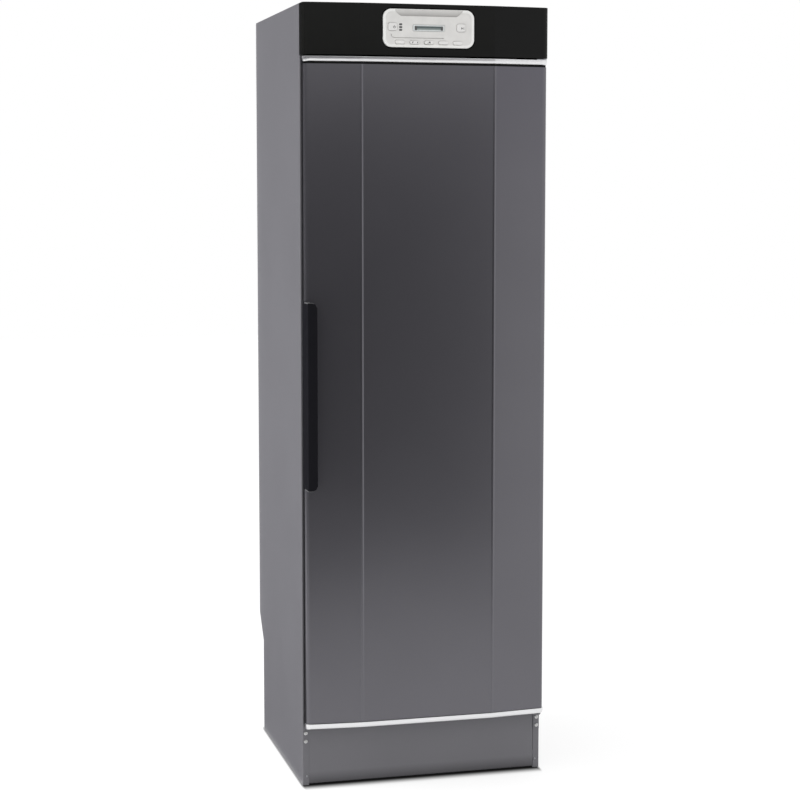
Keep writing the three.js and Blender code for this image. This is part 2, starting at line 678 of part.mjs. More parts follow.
// Duct from the fan's outlet to the warm air slots, open to both, with two holes for the heater.
function heaterDuct() {
  const outer = box([DUCT_LEFT, DUCT_FRONT, FAN_BOTTOM], [DUCT_RIGHT, DUCT_REAR, FAN_TOP]);
  const inner = box(
    [DUCT_LEFT + FAN_WALL, DUCT_FRONT + FAN_WALL, FAN_BOTTOM + FAN_WALL],
    [DUCT_RIGHT + EXTRA, DUCT_REAR - FAN_WALL, FAN_TOP - FAN_WALL]);
  const slotSpan = AIR_SLOT_COUNT * AIR_SLOT_PITCH;
  const outlet = box(
    [DUCT_LEFT + FAN_WALL, DUCT_FRONT + FAN_WALL, FAN_BOTTOM - EXTRA],
    [DUCT_LEFT + slotSpan + AIR_SLOT_PITCH / 2, DUCT_REAR - FAN_WALL, FAN_BOTTOM + FAN_WALL + EXTRA]);
  const holes = heaterEnds().map(([x, z]) => bar(
    [x, DUCT_FRONT - EXTRA, z], [x, DUCT_FRONT + FAN_WALL + EXTRA, z], HEATER_TUBE_RADIUS + FIT, SMALL_ROUND));
  return cut(outer, inner, outlet, ...holes);
}

// Places where the heater's two ends leave the duct: x and z.
function heaterEnds() {
  const span = (2 * HEATER_BENDS - 1) * HEATER_PITCH;
  const x = DUCT_RIGHT - FAN_WALL - HEATER_TUBE_RADIUS - 2 * HEATER_PITCH / 3;
  const z = FAN_BOTTOM + FAN_HEIGHT / 2 - HEATER_BEND_HEIGHT / 2;
  return [[x - span, z], [x, z]];
}

// Heater element: one tube that winds up and down across the air, with both ends led out.
function heaterElement() {
  const [[x0, z0]] = heaterEnds();
  const y = (DUCT_FRONT + DUCT_REAR) / 2;
  const outside = DUCT_FRONT - 8;
  const points = [new THREE.Vector3(x0, outside, z0), new THREE.Vector3(x0, y - 8, z0)];
  const top = z0 + HEATER_BEND_HEIGHT;
  for (let i = 0; i < 2 * HEATER_BENDS; i += 1) {
    const x = x0 + i * HEATER_PITCH;
    const rising = i % 2 === 0;
    points.push(new THREE.Vector3(x, y, rising ? z0 + 6 : top - 6));
    points.push(new THREE.Vector3(x, y, rising ? top - 6 : z0 + 6));
  }
  const last = x0 + (2 * HEATER_BENDS - 1) * HEATER_PITCH;
  points.push(new THREE.Vector3(last, y - 8, z0), new THREE.Vector3(last, outside, z0));
  const section = new THREE.Shape();
  section.absarc(0, 0, HEATER_TUBE_RADIUS, 0, 2 * Math.PI, false);
  const path = new THREE.CatmullRomCurve3(points, false, 'catmullrom', 0.35);
  return solidOf(new THREE.ExtrudeGeometry(section, {
    steps: 66, curveSegments: 3, bevelEnabled: false, extrudePath: path,
  }));
}

// Lint filter about the fan's axis: a frame with a lip under the ceiling and a grid of bars.
function lintFilter() {
  const half = FILTER_SIZE / 2;
  const lip = half + FILTER_LIP;
  const [bottom, top] = [CHAMBER_TOP - FILTER_DEPTH, FAN_BOTTOM - FIT];
  const frame = joined(
    box([-half, -half, bottom], [half, half, top]),
    box([-lip, -lip, CHAMBER_TOP - FILTER_LIP_THICKNESS], [lip, lip, CHAMBER_TOP]));
  const cell = (FILTER_SIZE - (FILTER_BARS + 1) * FILTER_BAR) / FILTER_BARS;
  const cells = [];
  for (let i = 0; i < FILTER_BARS; i += 1) {
    for (let j = 0; j < FILTER_BARS; j += 1) {
      const x = -half + FILTER_BAR + i * (cell + FILTER_BAR);
      const y = -half + FILTER_BAR + j * (cell + FILTER_BAR);
      cells.push(box([x, y, bottom - EXTRA], [x + cell, y + cell, top + EXTRA]));
    }
  }
  return cut(frame, ...cells);
}

function spigotY() {
  return BODY_DEPTH - SPIGOT_FROM_REAR;
}

// Exhaust spigot through the top panel, with a flange on it.
function exhaustSpigot() {
  const low = CABINET_HEIGHT - SPIGOT_DEPTH;
  const high = CABINET_HEIGHT + SPIGOT_RISE;
  const flange = bar(
    [0, 0, CABINET_HEIGHT + FIT], [0, 0, CABINET_HEIGHT + FIT + SPIGOT_FLANGE_THICKNESS],
    SPIGOT_RADIUS + SPIGOT_FLANGE, 32);
  const tube = bar([0, 0, low], [0, 0, high], SPIGOT_RADIUS, ROUND);
  const bore = bar([0, 0, low - EXTRA], [0, 0, high + EXTRA], SPIGOT_RADIUS - SPIGOT_WALL, ROUND);
  return cut(joined(flange, tube), bore);
}

// Humidity sensor under the ceiling at the rear.
function humiditySensor() {
  const x = -CHAMBER_HALF / 3;
  const y = CHAMBER_REAR - 2 * SENSOR_DEPTH;
  const body = box(
    [x - SENSOR_WIDTH / 2, y, CHAMBER_TOP - SENSOR_HEIGHT], [x + SENSOR_WIDTH / 2, y + SENSOR_DEPTH, CHAMBER_TOP]);
  const groove = box(
    [x - SENSOR_WIDTH / 4, y - EXTRA, CHAMBER_TOP - SENSOR_HEIGHT - EXTRA],
    [x + SENSOR_WIDTH / 4, y + SENSOR_DEPTH + EXTRA, CHAMBER_TOP - SENSOR_HEIGHT + 2]);
  return cut(body, groove);
}

// Door sensor on the back of the front frame, above the chamber.
function doorSensor() {
  const x = -FRAME_HALF + 2 * DOOR_SENSOR_WIDTH;
  const y = SHEET + FIT;
  const z = CEILING_TOP + SENSOR_HEIGHT;
  return joined(
    box([x, y, z], [x + DOOR_SENSOR_WIDTH, y + SENSOR_HEIGHT, z + SENSOR_HEIGHT]),
    box([x + DOOR_SENSOR_WIDTH / 4, y, z - 3], [x + DOOR_SENSOR_WIDTH / 2, y + 6, z + EXTRA]));
}

// Cable inlet in the services recess: a gland with a nut outside.
function cableInlet() {
  const wall = BODY_DEPTH - RECESS_DEPTH;
  const body = bar([0, wall - INLET_LENGTH / 2, 0], [0, wall + INLET_LENGTH, 0], INLET_RADIUS, ROUND);
  const nut = bar([0, wall + FIT, 0], [0, wall + INLET_LENGTH / 2, 0], INLET_NUT_RADIUS, 6);
  const bore = bar(
    [0, wall - INLET_LENGTH, 0], [0, wall + INLET_LENGTH + EXTRA, 0], INLET_RADIUS / 2, SMALL_ROUND);
  return cut(joined(body, nut), bore);
}

// ---------------------------------------------------------------- door

// Front outline of the door and fascia, seen from above, pulled in by a margin on every side.
// A bead is a low rounded ridge on each crease.
function frontPoints(half, margin, rear, beadHeight) {
  const side = half - margin;
  const radius = Math.max(DOOR_CORNER_RADIUS - margin, 1);
  const sideFront = DOOR_SIDE_FRONT + margin;
  const slope = FACET_DROP / (half - FACET_CREASE_X);
  const points = [[-side, rear]];
  for (let i = 0; i <= 4; i += 1) {
    const angle = Math.PI + (i / 4) * (Math.PI / 2 - Math.atan(slope));
    points.push([
      -side + radius + radius * Math.cos(angle),
      sideFront + radius - slope * radius + radius * Math.sin(angle),
    ]);
  }
  const creaseY = DOOR_FRONT + margin;
  if (beadHeight > 0) {
    const reach = BEAD_WIDTH / 2;
    points.push([-FACET_CREASE_X - reach, creaseY + slope * reach]);
    points.push([-FACET_CREASE_X - reach / 2, creaseY - 0.7 * beadHeight]);
    points.push([-FACET_CREASE_X, creaseY - beadHeight]);
    points.push([-FACET_CREASE_X + reach / 2, creaseY - 0.8 * beadHeight]);
    points.push([-FACET_CREASE_X + reach, creaseY]);
  } else {
    points.push([-FACET_CREASE_X, creaseY]);
  }
  return points.concat(points.map(([x, y]) => [-x, y]).reverse());
}

function frontOutline(half, margin, rear, beadHeight = 0) {
  return polygon(frontPoints(half, margin, rear, beadHeight));
}

// Door skin: bent sheet with a pressed bead on each crease.
function doorSkin() {
  return cut(
    standing(frontOutline(DOOR_HALF, 0, SKIN_REAR, BEAD_HEIGHT), SKIN_BOTTOM, SKIN_TOP),
    standing(frontOutline(DOOR_HALF, SKIN_SHEET, SKIN_REAR + EXTRA), SKIN_BOTTOM - EXTRA, SKIN_TOP + EXTRA));
}

function bushHole(z0, z1) {
  return bar([PIVOT_X, PIVOT_Y, z0], [PIVOT_X, PIVOT_Y, z1], BUSH_RADIUS + FIT, ROUND);
}

// Black frame behind the skin; its top rail fills the groove under the top trim.
function doorFrame() {
  const half = DOOR_HALF - DOOR_FRAME_INSET;
  const front = SKIN_REAR + FIT;
  const top = DOOR_TOP - DOOR_FRAME_INSET;
  const bottom = DOOR_BOTTOM + DOOR_FRAME_INSET;
  const ring = cut(
    wideBox(half, [front, bottom], [DOOR_REAR, top]),
    wideBox(half - DOOR_FRAME_RAIL,
      [front - EXTRA, bottom + DOOR_FRAME_RAIL], [DOOR_REAR + EXTRA, top - DOOR_FRAME_RAIL]));
  const railBottom = SKIN_TOP + FIT;
  const rail = standing(
    frontOutline(DOOR_HALF, GROOVE_DEPTH, front + EXTRA), railBottom, TOP_TRIM_BOTTOM - FIT);
  return cut(
    joined(ring, rail),
    bushHole(TOP_TRIM_BOTTOM - TOP_GROOVE, DOOR_TOP),
    bushHole(DOOR_BOTTOM, DOOR_BOTTOM + PIN_LENGTH));
}

// Trim across the door: rounded front, short returns along the door's sides, hole for the bush.
function doorTrim(bottom, height) {
  const rear = SKIN_REAR;
  const rounding = TRIM_ROUNDING;
  const layer = (inset, z0, z1) => standing(frontOutline(DOOR_HALF, inset - TRIM_PROUD, rear), z0, z1);
  const body = joined(
    layer(0, bottom + rounding, bottom + height - rounding),
    layer(rounding * 0.3, bottom + rounding * 0.45, bottom + height - rounding * 0.45),
    layer(rounding, bottom, bottom + height));
  const limit = wideBox(
    DOOR_HALF + TRIM_SIDE_PROUD, [DOOR_FRONT - TRIM_PROUD, bottom], [rear, bottom + height]);
  return cut(body.intersect(limit), bushHole(bottom - EXTRA, bottom + height + EXTRA));
}

// Insulation that fills the door between the skin and the liner.
function doorInsulation() {
  const inset = DOOR_FRAME_INSET + DOOR_FRAME_RAIL + FIT;
  const z0 = DOOR_BOTTOM + inset;
  const z1 = SKIN_TOP - FIT;
  const front = frontOutline(DOOR_HALF, SKIN_SHEET + FIT, DOOR_REAR - LINER_SHEET - FIT);
  const body = standing(front, z0 - DOOR_FRAME_RAIL / 2, z1);
  const limit = wideBox(
    DOOR_HALF - inset, [DOOR_FRONT, z0], [DOOR_REAR, DOOR_TOP - inset]);
  return body.intersect(limit);
}

// Liner on the door's inner side, level with the frame.
function doorLiner() {
  const inset = DOOR_FRAME_INSET + DOOR_FRAME_RAIL + FIT;
  return wideBox(
    DOOR_HALF - inset, [DOOR_REAR - LINER_SHEET, DOOR_BOTTOM + inset], [DOOR_REAR, DOOR_TOP - inset]);
}

// Magnetic gasket round the chamber opening, on the door.
function doorGasket() {
  const inner = CHAMBER_HALF + GASKET_OVERLAP;
  const outer = inner + GASKET_WIDTH;
  const [z0, z1] = [CHAMBER_FLOOR - GASKET_OVERLAP, CHAMBER_TOP + GASKET_OVERLAP];
  const [front, rear] = [DOOR_REAR + FIT, -FIT];
  return cut(
    wideBox(outer, [front, z0 - GASKET_WIDTH], [rear, z1 + GASKET_WIDTH]),
    wideBox(inner, [front - EXTRA, z0], [rear + EXTRA, z1]));
}

// Grip: an angle section on the door's left edge, closed at both ends, open towards the door's middle.
function grip() {
  const outer = -HALF_WIDTH;
  const inner = outer + GRIP_WIDTH;
  const top = GRIP_BOTTOM + GRIP_LENGTH;
  const section = new THREE.Shape();
  section.moveTo(outer, SKIN_REAR);
  section.lineTo(outer, GRIP_FRONT + 2);
  section.quadraticCurveTo(outer, GRIP_FRONT, outer + 2, GRIP_FRONT);
  section.lineTo(inner, GRIP_FRONT);
  section.lineTo(inner, GRIP_FRONT + GRIP_WALL);
  section.lineTo(outer + GRIP_WALL, GRIP_FRONT + GRIP_WALL);
  section.lineTo(outer + GRIP_WALL, SKIN_REAR);
  const end = polygon([
    [outer, SKIN_REAR],
    [outer, GRIP_FRONT + 2],
    [outer + 2, GRIP_FRONT],
    [inner, GRIP_FRONT],
    [inner, SKIN_REAR],
  ]);
  const body = joined(
    standing(section, GRIP_BOTTOM, top),
    standing(end, GRIP_BOTTOM, GRIP_BOTTOM + GRIP_WALL),
    standing(end, top - GRIP_WALL, top));
  const door = standing(frontOutline(DOOR_HALF, -FIT, SKIN_REAR + EXTRA), GRIP_BOTTOM - EXTRA, top + EXTRA);
  const bevel = (z, way) => facing(polygon([
    [inner - GRIP_CORNER, z + way * EXTRA],
    [inner + EXTRA, z + way * EXTRA],
    [inner + EXTRA, z - way * GRIP_CORNER],
    [inner, z - way * GRIP_CORNER],
    [inner - GRIP_CORNER, z],
  ]), GRIP_FRONT - EXTRA, DOOR_FRONT);
  return cut(body, door, bevel(top, 1), bevel(GRIP_BOTTOM, -1));
}

// ---------------------------------------------------------------- hinges and screws

function screwHeights() {
  const upper = DOOR_BOTTOM - SCREW_TOP_DROP;
  return [upper, upper - SCREW_PITCH];
}

// Lower hinge: plate on the front flange, tongue under the door and pin up into the bush.
function lowerHinge() {
  const top = DOOR_BOTTOM - BUSH_FLANGE - 2 * FIT;
  const outer = HALF_WIDTH - 1;
  const bottom = Math.min(...screwHeights()) - SCREW_PITCH / 2;
  const plate = box([FRAME_HALF + FIT, -HINGE_PLATE - FIT, bottom], [outer, -FIT, top]);
  const tongue = box(
    [PIVOT_X - HINGE_WIDTH / 2, PIVOT_Y - HINGE_WIDTH / 2, top - LOWER_TONGUE], [outer, -FIT, top]);
  const pin = bar(
    [PIVOT_X, PIVOT_Y, top - EXTRA], [PIVOT_X, PIVOT_Y, top + PIN_LENGTH], PIN_RADIUS, ROUND);
  const holes = screwHeights().map((z) => bar(
    [SCREW_X, -HINGE_PLATE - FIT - EXTRA, z], [SCREW_X, 0, z], SCREW_SHANK_RADIUS + FIT, SMALL_ROUND));
  return cut(joined(plate, tongue, pin), ...holes);
}

// Upper hinge: tongue in the gap over the door, plate behind the fascia and pin down into the bush.
function upperHinge() {
  const bottom = DOOR_TOP + BUSH_FLANGE + 2 * FIT;
  const outer = HALF_WIDTH - FASCIA_WALL - 2 * FIT;
  const plate = box(
    [outer - HINGE_WIDTH, -HINGE_PLATE - FIT, bottom], [outer, -FIT, bottom + HINGE_PLATE_HEIGHT]);
  const tongue = box(
    [PIVOT_X - HINGE_WIDTH / 2, PIVOT_Y - HINGE_WIDTH / 2, bottom], [outer, -FIT, bottom + UPPER_TONGUE]);
  const pin = bar(
    [PIVOT_X, PIVOT_Y, bottom - PIN_LENGTH], [PIVOT_X, PIVOT_Y, bottom + EXTRA], PIN_RADIUS, ROUND);
  return joined(plate, tongue, pin);
}

// Hinge bush about the pin: sleeve with a flange outside the door. way is 1 at the bottom, -1 at the top.
function hingeBush(doorEdge, way) {
  const flangeEnd = doorEdge - way * (BUSH_FLANGE + FIT);
  const sleeveEnd = doorEdge + way * (PIN_LENGTH - 2);
  const bore = PIN_RADIUS + PIN_CLEARANCE;
  const flange = bar(
    [PIVOT_X, PIVOT_Y, flangeEnd], [PIVOT_X, PIVOT_Y, flangeEnd + way * BUSH_FLANGE], BUSH_FLANGE_RADIUS);
  const sleeve = bar([PIVOT_X, PIVOT_Y, flangeEnd], [PIVOT_X, PIVOT_Y, sleeveEnd], BUSH_RADIUS);
  const hole = bar(
    [PIVOT_X, PIVOT_Y, flangeEnd - way * EXTRA], [PIVOT_X, PIVOT_Y, sleeveEnd + way * EXTRA], bore);
  return cut(joined(flange, sleeve), hole);
}

// Screw along y with its head's underside at y = 0 and a slot across the head.
function slottedScrew() {
  const head = bar([0, -SCREW_HEAD_HEIGHT, 0], [0, 0, 0], SCREW_HEAD_RADIUS, 16);
  const shank = bar([0, -EXTRA, 0], [0, SCREW_LENGTH, 0], SCREW_SHANK_RADIUS, SMALL_ROUND);
  const slot = box(
    [-SCREW_HEAD_RADIUS - EXTRA, -SCREW_HEAD_HEIGHT - EXTRA, -SLOT_WIDTH / 2],
    [SCREW_HEAD_RADIUS + EXTRA, -SCREW_HEAD_HEIGHT / 2, SLOT_WIDTH / 2]);
  return cut(joined(head, shank), slot);
}

// ---------------------------------------------------------------- fascia and controls

// Fascia: hollow cover with the door's facets and a round-cornered opening for the control plate.
function fascia() {
  const top = CABINET_HEIGHT;
  const outer = standing(frontOutline(HALF_WIDTH, 0, -FIT), FASCIA_BOTTOM, top);
  const inner = standing(
    frontOutline(HALF_WIDTH, FASCIA_WALL, EXTRA), FASCIA_BOTTOM + FASCIA_WALL, top - FASCIA_WALL);
  const belowGap = wideBox(
    HALF_WIDTH - FASCIA_WALL, [DOOR_REAR, FASCIA_BOTTOM - EXTRA], [EXTRA, FASCIA_BOTTOM + 2 * FASCIA_WALL]);
  const opening = facing(
    roundRect(PLATE_WIDTH + 2 * PLATE_GAP, PLATE_HEIGHT + 2 * PLATE_GAP, PLATE_RADIUS + PLATE_GAP, 0, PLATE_Z),
    DOOR_FRONT - EXTRA, DOOR_FRONT + 2 * FASCIA_WALL);
  return cut(outer, inner, belowGap, opening);
}

function keyPlaces() {
  return Array.from({ length: KEY_COUNT }, (_, i) => (i - (KEY_COUNT - 1) / 2) * KEY_PITCH);
}

// Control plate about its centre: sunk face, brow, lower band, holes for the display, buttons and keys.
function controlPlate() {
  const flangeFront = DOOR_FRONT + FASCIA_WALL + FIT;
  const flangeWidth = PLATE_WIDTH + 2 * PLATE_GAP + 2 * PLATE_FLANGE;
  const flangeHeight = PLATE_HEIGHT + 2 * PLATE_GAP + 2 * PLATE_FLANGE;
  const body = facing(roundRect(PLATE_WIDTH, PLATE_HEIGHT, PLATE_RADIUS), PLATE_FRONT, PLATE_BACK);
  const flange = facing(
    roundRect(flangeWidth, flangeHeight, PLATE_RADIUS), flangeFront, flangeFront + PLATE_FLANGE_THICKNESS);
  const posts = [-1, 1].flatMap((sx) => [-1, 1].map((sz) => {
    const x = sx * (BOARD_WIDTH / 2 - 6);
    const z = sz * (BOARD_HEIGHT / 2 - 6);
    return bar([x, PLATE_BACK - EXTRA, z], [x, BOARD_FRONT - FIT, z], 3, 8);
  }));
  const wellBottom = -PLATE_HEIGHT / 2 + LOWER_BAND_HEIGHT;
  const wellTop = PLATE_HEIGHT / 2 - WELL_MARGIN;
  const well = facing(
    roundRect(PLATE_WIDTH - 2 * WELL_MARGIN, wellTop - wellBottom, PLATE_RADIUS - WELL_MARGIN,
      0, (wellTop + wellBottom) / 2), PLATE_FRONT - EXTRA, WELL_FACE);
  const brow = facing(
    roundRect(BROW_WIDTH, BROW_HEIGHT, BROW_HEIGHT / 2, 0, BROW_RISE), PLATE_FRONT - EXTRA, WELL_FACE + WELL_DEPTH);
  const through = (width, height, radius, x, z) => facing(
    roundRect(width + 2 * FIT, height + 2 * FIT, radius + FIT, x, z), PLATE_FRONT - EXTRA, PLATE_BACK + EXTRA);
  const holes = [
    through(DISPLAY_WIDTH, DISPLAY_HEIGHT, 3, 0, DISPLAY_RISE),
    through(BUTTON_WIDTH, BUTTON_HEIGHT, 5, POWER_BUTTON_X, BUTTON_RISE),
    through(BUTTON_WIDTH, BUTTON_HEIGHT, 5, START_BUTTON_X, BUTTON_RISE),
    ...keyPlaces().map((x) => through(KEY_WIDTH, KEY_HEIGHT, KEY_HEIGHT / 2, x, -KEY_DROP)),
  ];
  return cut(joined(body, flange, ...posts), well, brow, ...holes);
}

// Display about the plate's centre.
function displayWindow() {
  const front = WELL_FACE + FIT;
  return facing(
    roundRect(DISPLAY_WIDTH, DISPLAY_HEIGHT, 3, 0, DISPLAY_RISE), front, front + DISPLAY_THICKNESS);
}

// Button or key about its own centre: cap through the plate and a collar behind it.
function pushButton(width, height, radius, face) {
  const collarFront = PLATE_BACK + FIT;
  return joined(
    facing(roundRect(width, height, radius), face - BUTTON_PROUD, collarFront + BUTTON_COLLAR / 2),
    facing(roundRect(width + 3, height + 3, radius), collarFront, collarFront + BUTTON_COLLAR));
}

// Control board behind the plate, with a block under each switch.
function controlBoard() {
  const back = BOARD_FRONT + BOARD_THICKNESS;
  const board = box(
    [-BOARD_WIDTH / 2, BOARD_FRONT, -BOARD_HEIGHT / 2], [BOARD_WIDTH / 2, back, BOARD_HEIGHT / 2]);
  const collarBack = PLATE_BACK + FIT + BUTTON_COLLAR;
  const switchFront = collarBack + BUTTON_TRAVEL + FIT;
  const places = [
    [POWER_BUTTON_X, BUTTON_RISE],
    [START_BUTTON_X, BUTTON_RISE],
    ...keyPlaces().map((x) => [x, -KEY_DROP]),
  ];
  const switches = places.map(([x, z]) => box([x - 3, switchFront, z - 3], [x + 3, back - EXTRA, z + 3]));
  return joined(board, ...switches);
}

// ---------------------------------------------------------------- assembly

function cabinetGroup() {
  const group = new THREE.Group();
  group.add(
    piece('left_side_panel', sidePanel(-1), 'paint'),
    piece('right_side_panel', sidePanel(1), 'paint'),
    piece('top_panel', topPanel(), 'paint'),
    piece('rear_panel', rearPanel(), 'steel'),
    piece('base_tray', baseTray(), 'steel'),
    piece('plinth', plinth(), 'paint'),
    piece('front_frame', frontFrame(), 'black'),
    piece('chamber_left_wall', chamberSideWall(-1), 'liner'),
    piece('chamber_right_wall', chamberSideWall(1), 'liner'),
    piece('chamber_rear_wall', chamberRearWall(), 'liner'),
    piece('chamber_floor', chamberFloor(), 'liner'),
    piece('chamber_ceiling', chamberCeiling(), 'liner'),
  );
  footPlaces().forEach(([name, x, y]) => group.add(placed(piece(name, levellingFoot(), 'rubber'), x, y, 0)));
  [['upper', 0], ['middle', 1], ['lower', 2]].forEach(([tier, step]) => {
    const z = UPPER_TIER - step * TIER_PITCH;
    group.add(placed(piece(`${tier}_rack`, hangerRack(), 'steel'), 0, RACK_PIVOT_Y, z));
    group.add(placed(piece(`${tier}_rack_bracket`, rackBracket(), 'steel'), 0, RACK_PIVOT_Y, z));
  });
  [[-1, 'left', 0], [1, 'right', HINGE_PLATE + FIT]].forEach(([side, name, stack]) => {
    screwHeights().forEach((z, i) => {
      const screw = piece(`${name}_hinge_screw_${i + 1}`, slottedScrew(), 'steel');
      group.add(placed(screw, side * SCREW_X, -FIT - stack, z));
    });
  });
  group.add(
    piece('lower_hinge', lowerHinge(), 'steel'),
    piece('upper_hinge', upperHinge(), 'steel'),
    placed(piece('cable_inlet', cableInlet(), 'rubber'), INLET_X, 0, INLET_Z),
    placed(piece('exhaust_spigot', exhaustSpigot(), 'nylon'), SPIGOT_X, spigotY(), 0),
    piece('door_sensor', doorSensor(), 'nylon'),
  );
  return group;
}

function airGroup() {
  const group = new THREE.Group();
  group.add(
    placed(piece('fan_housing', fanHousing(), 'steel'), FAN_X, FAN_Y, FAN_BOTTOM),
    placed(piece('fan_impeller', fanImpeller(), 'nylon'), FAN_X, FAN_Y, FAN_BOTTOM),
    placed(piece('fan_motor', fanMotor(), 'steel'), FAN_X, FAN_Y, FAN_BOTTOM),
    piece('heater_duct', heaterDuct(), 'steel'),
    piece('heater_element', heaterElement(), 'steel'),
    placed(piece('lint_filter', lintFilter(), 'nylon'), FAN_X, FAN_Y, 0),
    piece('humidity_sensor', humiditySensor(), 'nylon'),
  );
  return group;
}

function controlGroup() {
  const group = new THREE.Group();
  group.position.z = PLATE_Z;
  const button = () => pushButton(BUTTON_WIDTH, BUTTON_HEIGHT, 5, WELL_FACE);
  group.add(
    piece('control_plate', controlPlate(), 'plate'),
    piece('display_window', displayWindow(), 'glass'),
    placed(piece('power_button', button(), 'plate'), POWER_BUTTON_X, 0, BUTTON_RISE),
    placed(piece('start_button', button(), 'plate'), START_BUTTON_X, 0, BUTTON_RISE),
    piece('control_board', controlBoard(), 'board'),
  );
  keyPlaces().forEach((x, i) => {
    const key = pushButton(KEY_WIDTH, KEY_HEIGHT, KEY_HEIGHT / 2, PLATE_FRONT);
    group.add(placed(piece(`option_key_${i + 1}`, key, 'plate'), x, 0, -KEY_DROP));
  });
  return group;
}

function doorGroup() {
  const group = new THREE.Group();
  group.add(
    piece('door_skin', doorSkin(), 'paint'),
    piece('door_frame', doorFrame(), 'black'),
    piece('door_top_trim', doorTrim(TOP_TRIM_BOTTOM, TOP_TRIM_HEIGHT), 'trim'),
    piece('door_bottom_trim', doorTrim(DOOR_BOTTOM, BOTTOM_TRIM_HEIGHT), 'trim'),
    piece('door_insulation', doorInsulation(), 'foam'),
    piece('door_liner', doorLiner(), 'liner'),
    piece('door_gasket', doorGasket(), 'rubber'),
    piece('door_grip', grip(), 'black'),
    piece('lower_hinge_bush', hingeBush(DOOR_BOTTOM, 1), 'nylon'),
    piece('upper_hinge_bush', hingeBush(DOOR_TOP, -1), 'nylon'),
  );
  return group;
}

const cabinet = new THREE.Group();
cabinet.add(cabinetGroup(), airGroup(), controlGroup(), piece('fascia', fascia(), 'black'), doorGroup());
// The origin is the middle of the whole footprint, on the floor.
cabinet.position.y = -(BODY_DEPTH + GRIP_FRONT) / 2;

export default cabinet;
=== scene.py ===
"""Drying cabinet: finishes, fine shapes, studio light and camera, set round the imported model.

Shapes are written in millimetres from the middle of the cabinet's front plane, on the floor:
x to the right, y to the rear, z up. mesh_data() turns them into metres in the row frame.
"""
import math

import bmesh
import bpy
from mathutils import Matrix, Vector


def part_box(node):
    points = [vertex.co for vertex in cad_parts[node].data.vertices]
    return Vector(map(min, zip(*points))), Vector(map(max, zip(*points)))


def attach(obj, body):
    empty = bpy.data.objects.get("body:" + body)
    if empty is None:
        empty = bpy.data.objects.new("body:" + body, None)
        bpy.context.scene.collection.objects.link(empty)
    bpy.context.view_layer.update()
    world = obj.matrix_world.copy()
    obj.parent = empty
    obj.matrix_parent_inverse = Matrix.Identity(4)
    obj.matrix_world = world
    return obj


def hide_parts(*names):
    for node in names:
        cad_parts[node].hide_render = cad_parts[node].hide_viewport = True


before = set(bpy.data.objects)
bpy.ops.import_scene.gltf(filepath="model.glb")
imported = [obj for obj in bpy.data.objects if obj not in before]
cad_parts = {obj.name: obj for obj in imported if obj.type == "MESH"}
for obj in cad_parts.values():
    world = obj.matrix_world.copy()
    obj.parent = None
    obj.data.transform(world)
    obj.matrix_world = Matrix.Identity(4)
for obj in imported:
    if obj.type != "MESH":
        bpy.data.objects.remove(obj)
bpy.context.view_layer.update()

MM = 0.001
FRONT_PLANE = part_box("left_side_panel")[0].y  # its row-frame y, in metres

# ---- sizes (mm)

HALF_WIDTH = 297.5
BODY_DEPTH = 552
HEIGHT = 1850
SHEET = 1.2
FIT = 0.3  # gap between pieces that seat on each other
SIDES = ((-1, "left"), (1, "right"))
COLUMN_INNER = 281.5  # inner edge of the side panels' front flanges
COLUMN_HEM = 11
PANEL_BEND = 2.6
SIDE_BOTTOM = 2
PANEL_HALF = 296  # rear panel, between the side panels
RECESS_Y = 499  # wall of the services recess
RECESS_Z = 241  # where the recess begins to slope out
RECESS_TOP_Z = 307
REAR_FIELD = (150, 590, 26)  # width, height, corner radius of each pressed field
REAR_FIELD_X = (-176, 0, 176)
REAR_FIELD_Z = (680, 1350)
FIELD_DEPTH = 2.8
VENTS = (  # slots' width, their middle's x, lowest z, rows, depth
    (104, 0, 430, 8, 8), (60, 130, 1742, 4, 3), (60, 210, 1742, 4, 3))
PLINTH_ENDS = (-281.4, 280.6)  # butts against the left column
PLINTH_BOTTOM = 5
PLINTH_TOP = 148.3
PLINTH_BEND = 2.2
PLINTH_DEPTH = 12
# painted shade: below this height the plinth's paint darkens towards the floor
PLINTH_SHADE_TOP = 34  # the plinth darkens below it
SCREW_HEAD = 2.2  # height of a screw's head

HINGE_AXIS = (281, -23)
HINGE_TOP = 146.7
HINGE_BOTTOM = 99.3
HINGE_OUTER = 296.5
HINGE_PLATE = 2
HINGE_TONGUE = 4
HINGE_REACH = 11.5  # half the tongue's width
HINGE_SCREW_X = 289.5
HINGE_SCREW_Z = (129.3, 109.3)

DOOR_HALF = 295
DOOR_FRONT = -48
DOOR_REAR = -6
FACET_DROP = 11.5  # how far the door's sides stand behind its middle
CREASE_X = 161
DOOR_CORNER_RADIUS = 11
CORNER_STRETCH = 1.35  # the corner is a round one, stretched along x
SKIN_REAR = -26.5
SKIN_BOTTOM = 161.2
SKIN_TOP = 1710.4
BEAD_WIDTH = 9
BEAD_HEIGHT = 1.3
BEAD_STEPS = 8
TRIM_PROUD = 3
TRIM_SIDE_PROUD = 2
TOP_TRIM = (1715.4, 1727.2)
BOTTOM_TRIM = (147.3, 160.8)
TRIM_PROFILE = (  # share of the height from the bottom, set back from the trim's front
    (0.0, 6.0), (0.05, 5.0), (0.12, 4.14), (0.20, 3.35), (0.30, 2.55), (0.40, 1.89), (0.50, 1.35),
    (0.60, 0.92), (0.70, 0.58), (0.80, 0.31), (0.90, 0.10), (0.97, 0.0), (1.0, 0.12))

GRIP_LEFT = -297.5
GRIP_RIGHT = -274
GRIP_FRONT = -83
GRIP_BOTTOM = 724
GRIP_TOP = 1162
GRIP_BEVEL = 12
GRIP_WALL = 5
GRIP_CAP = 1.8

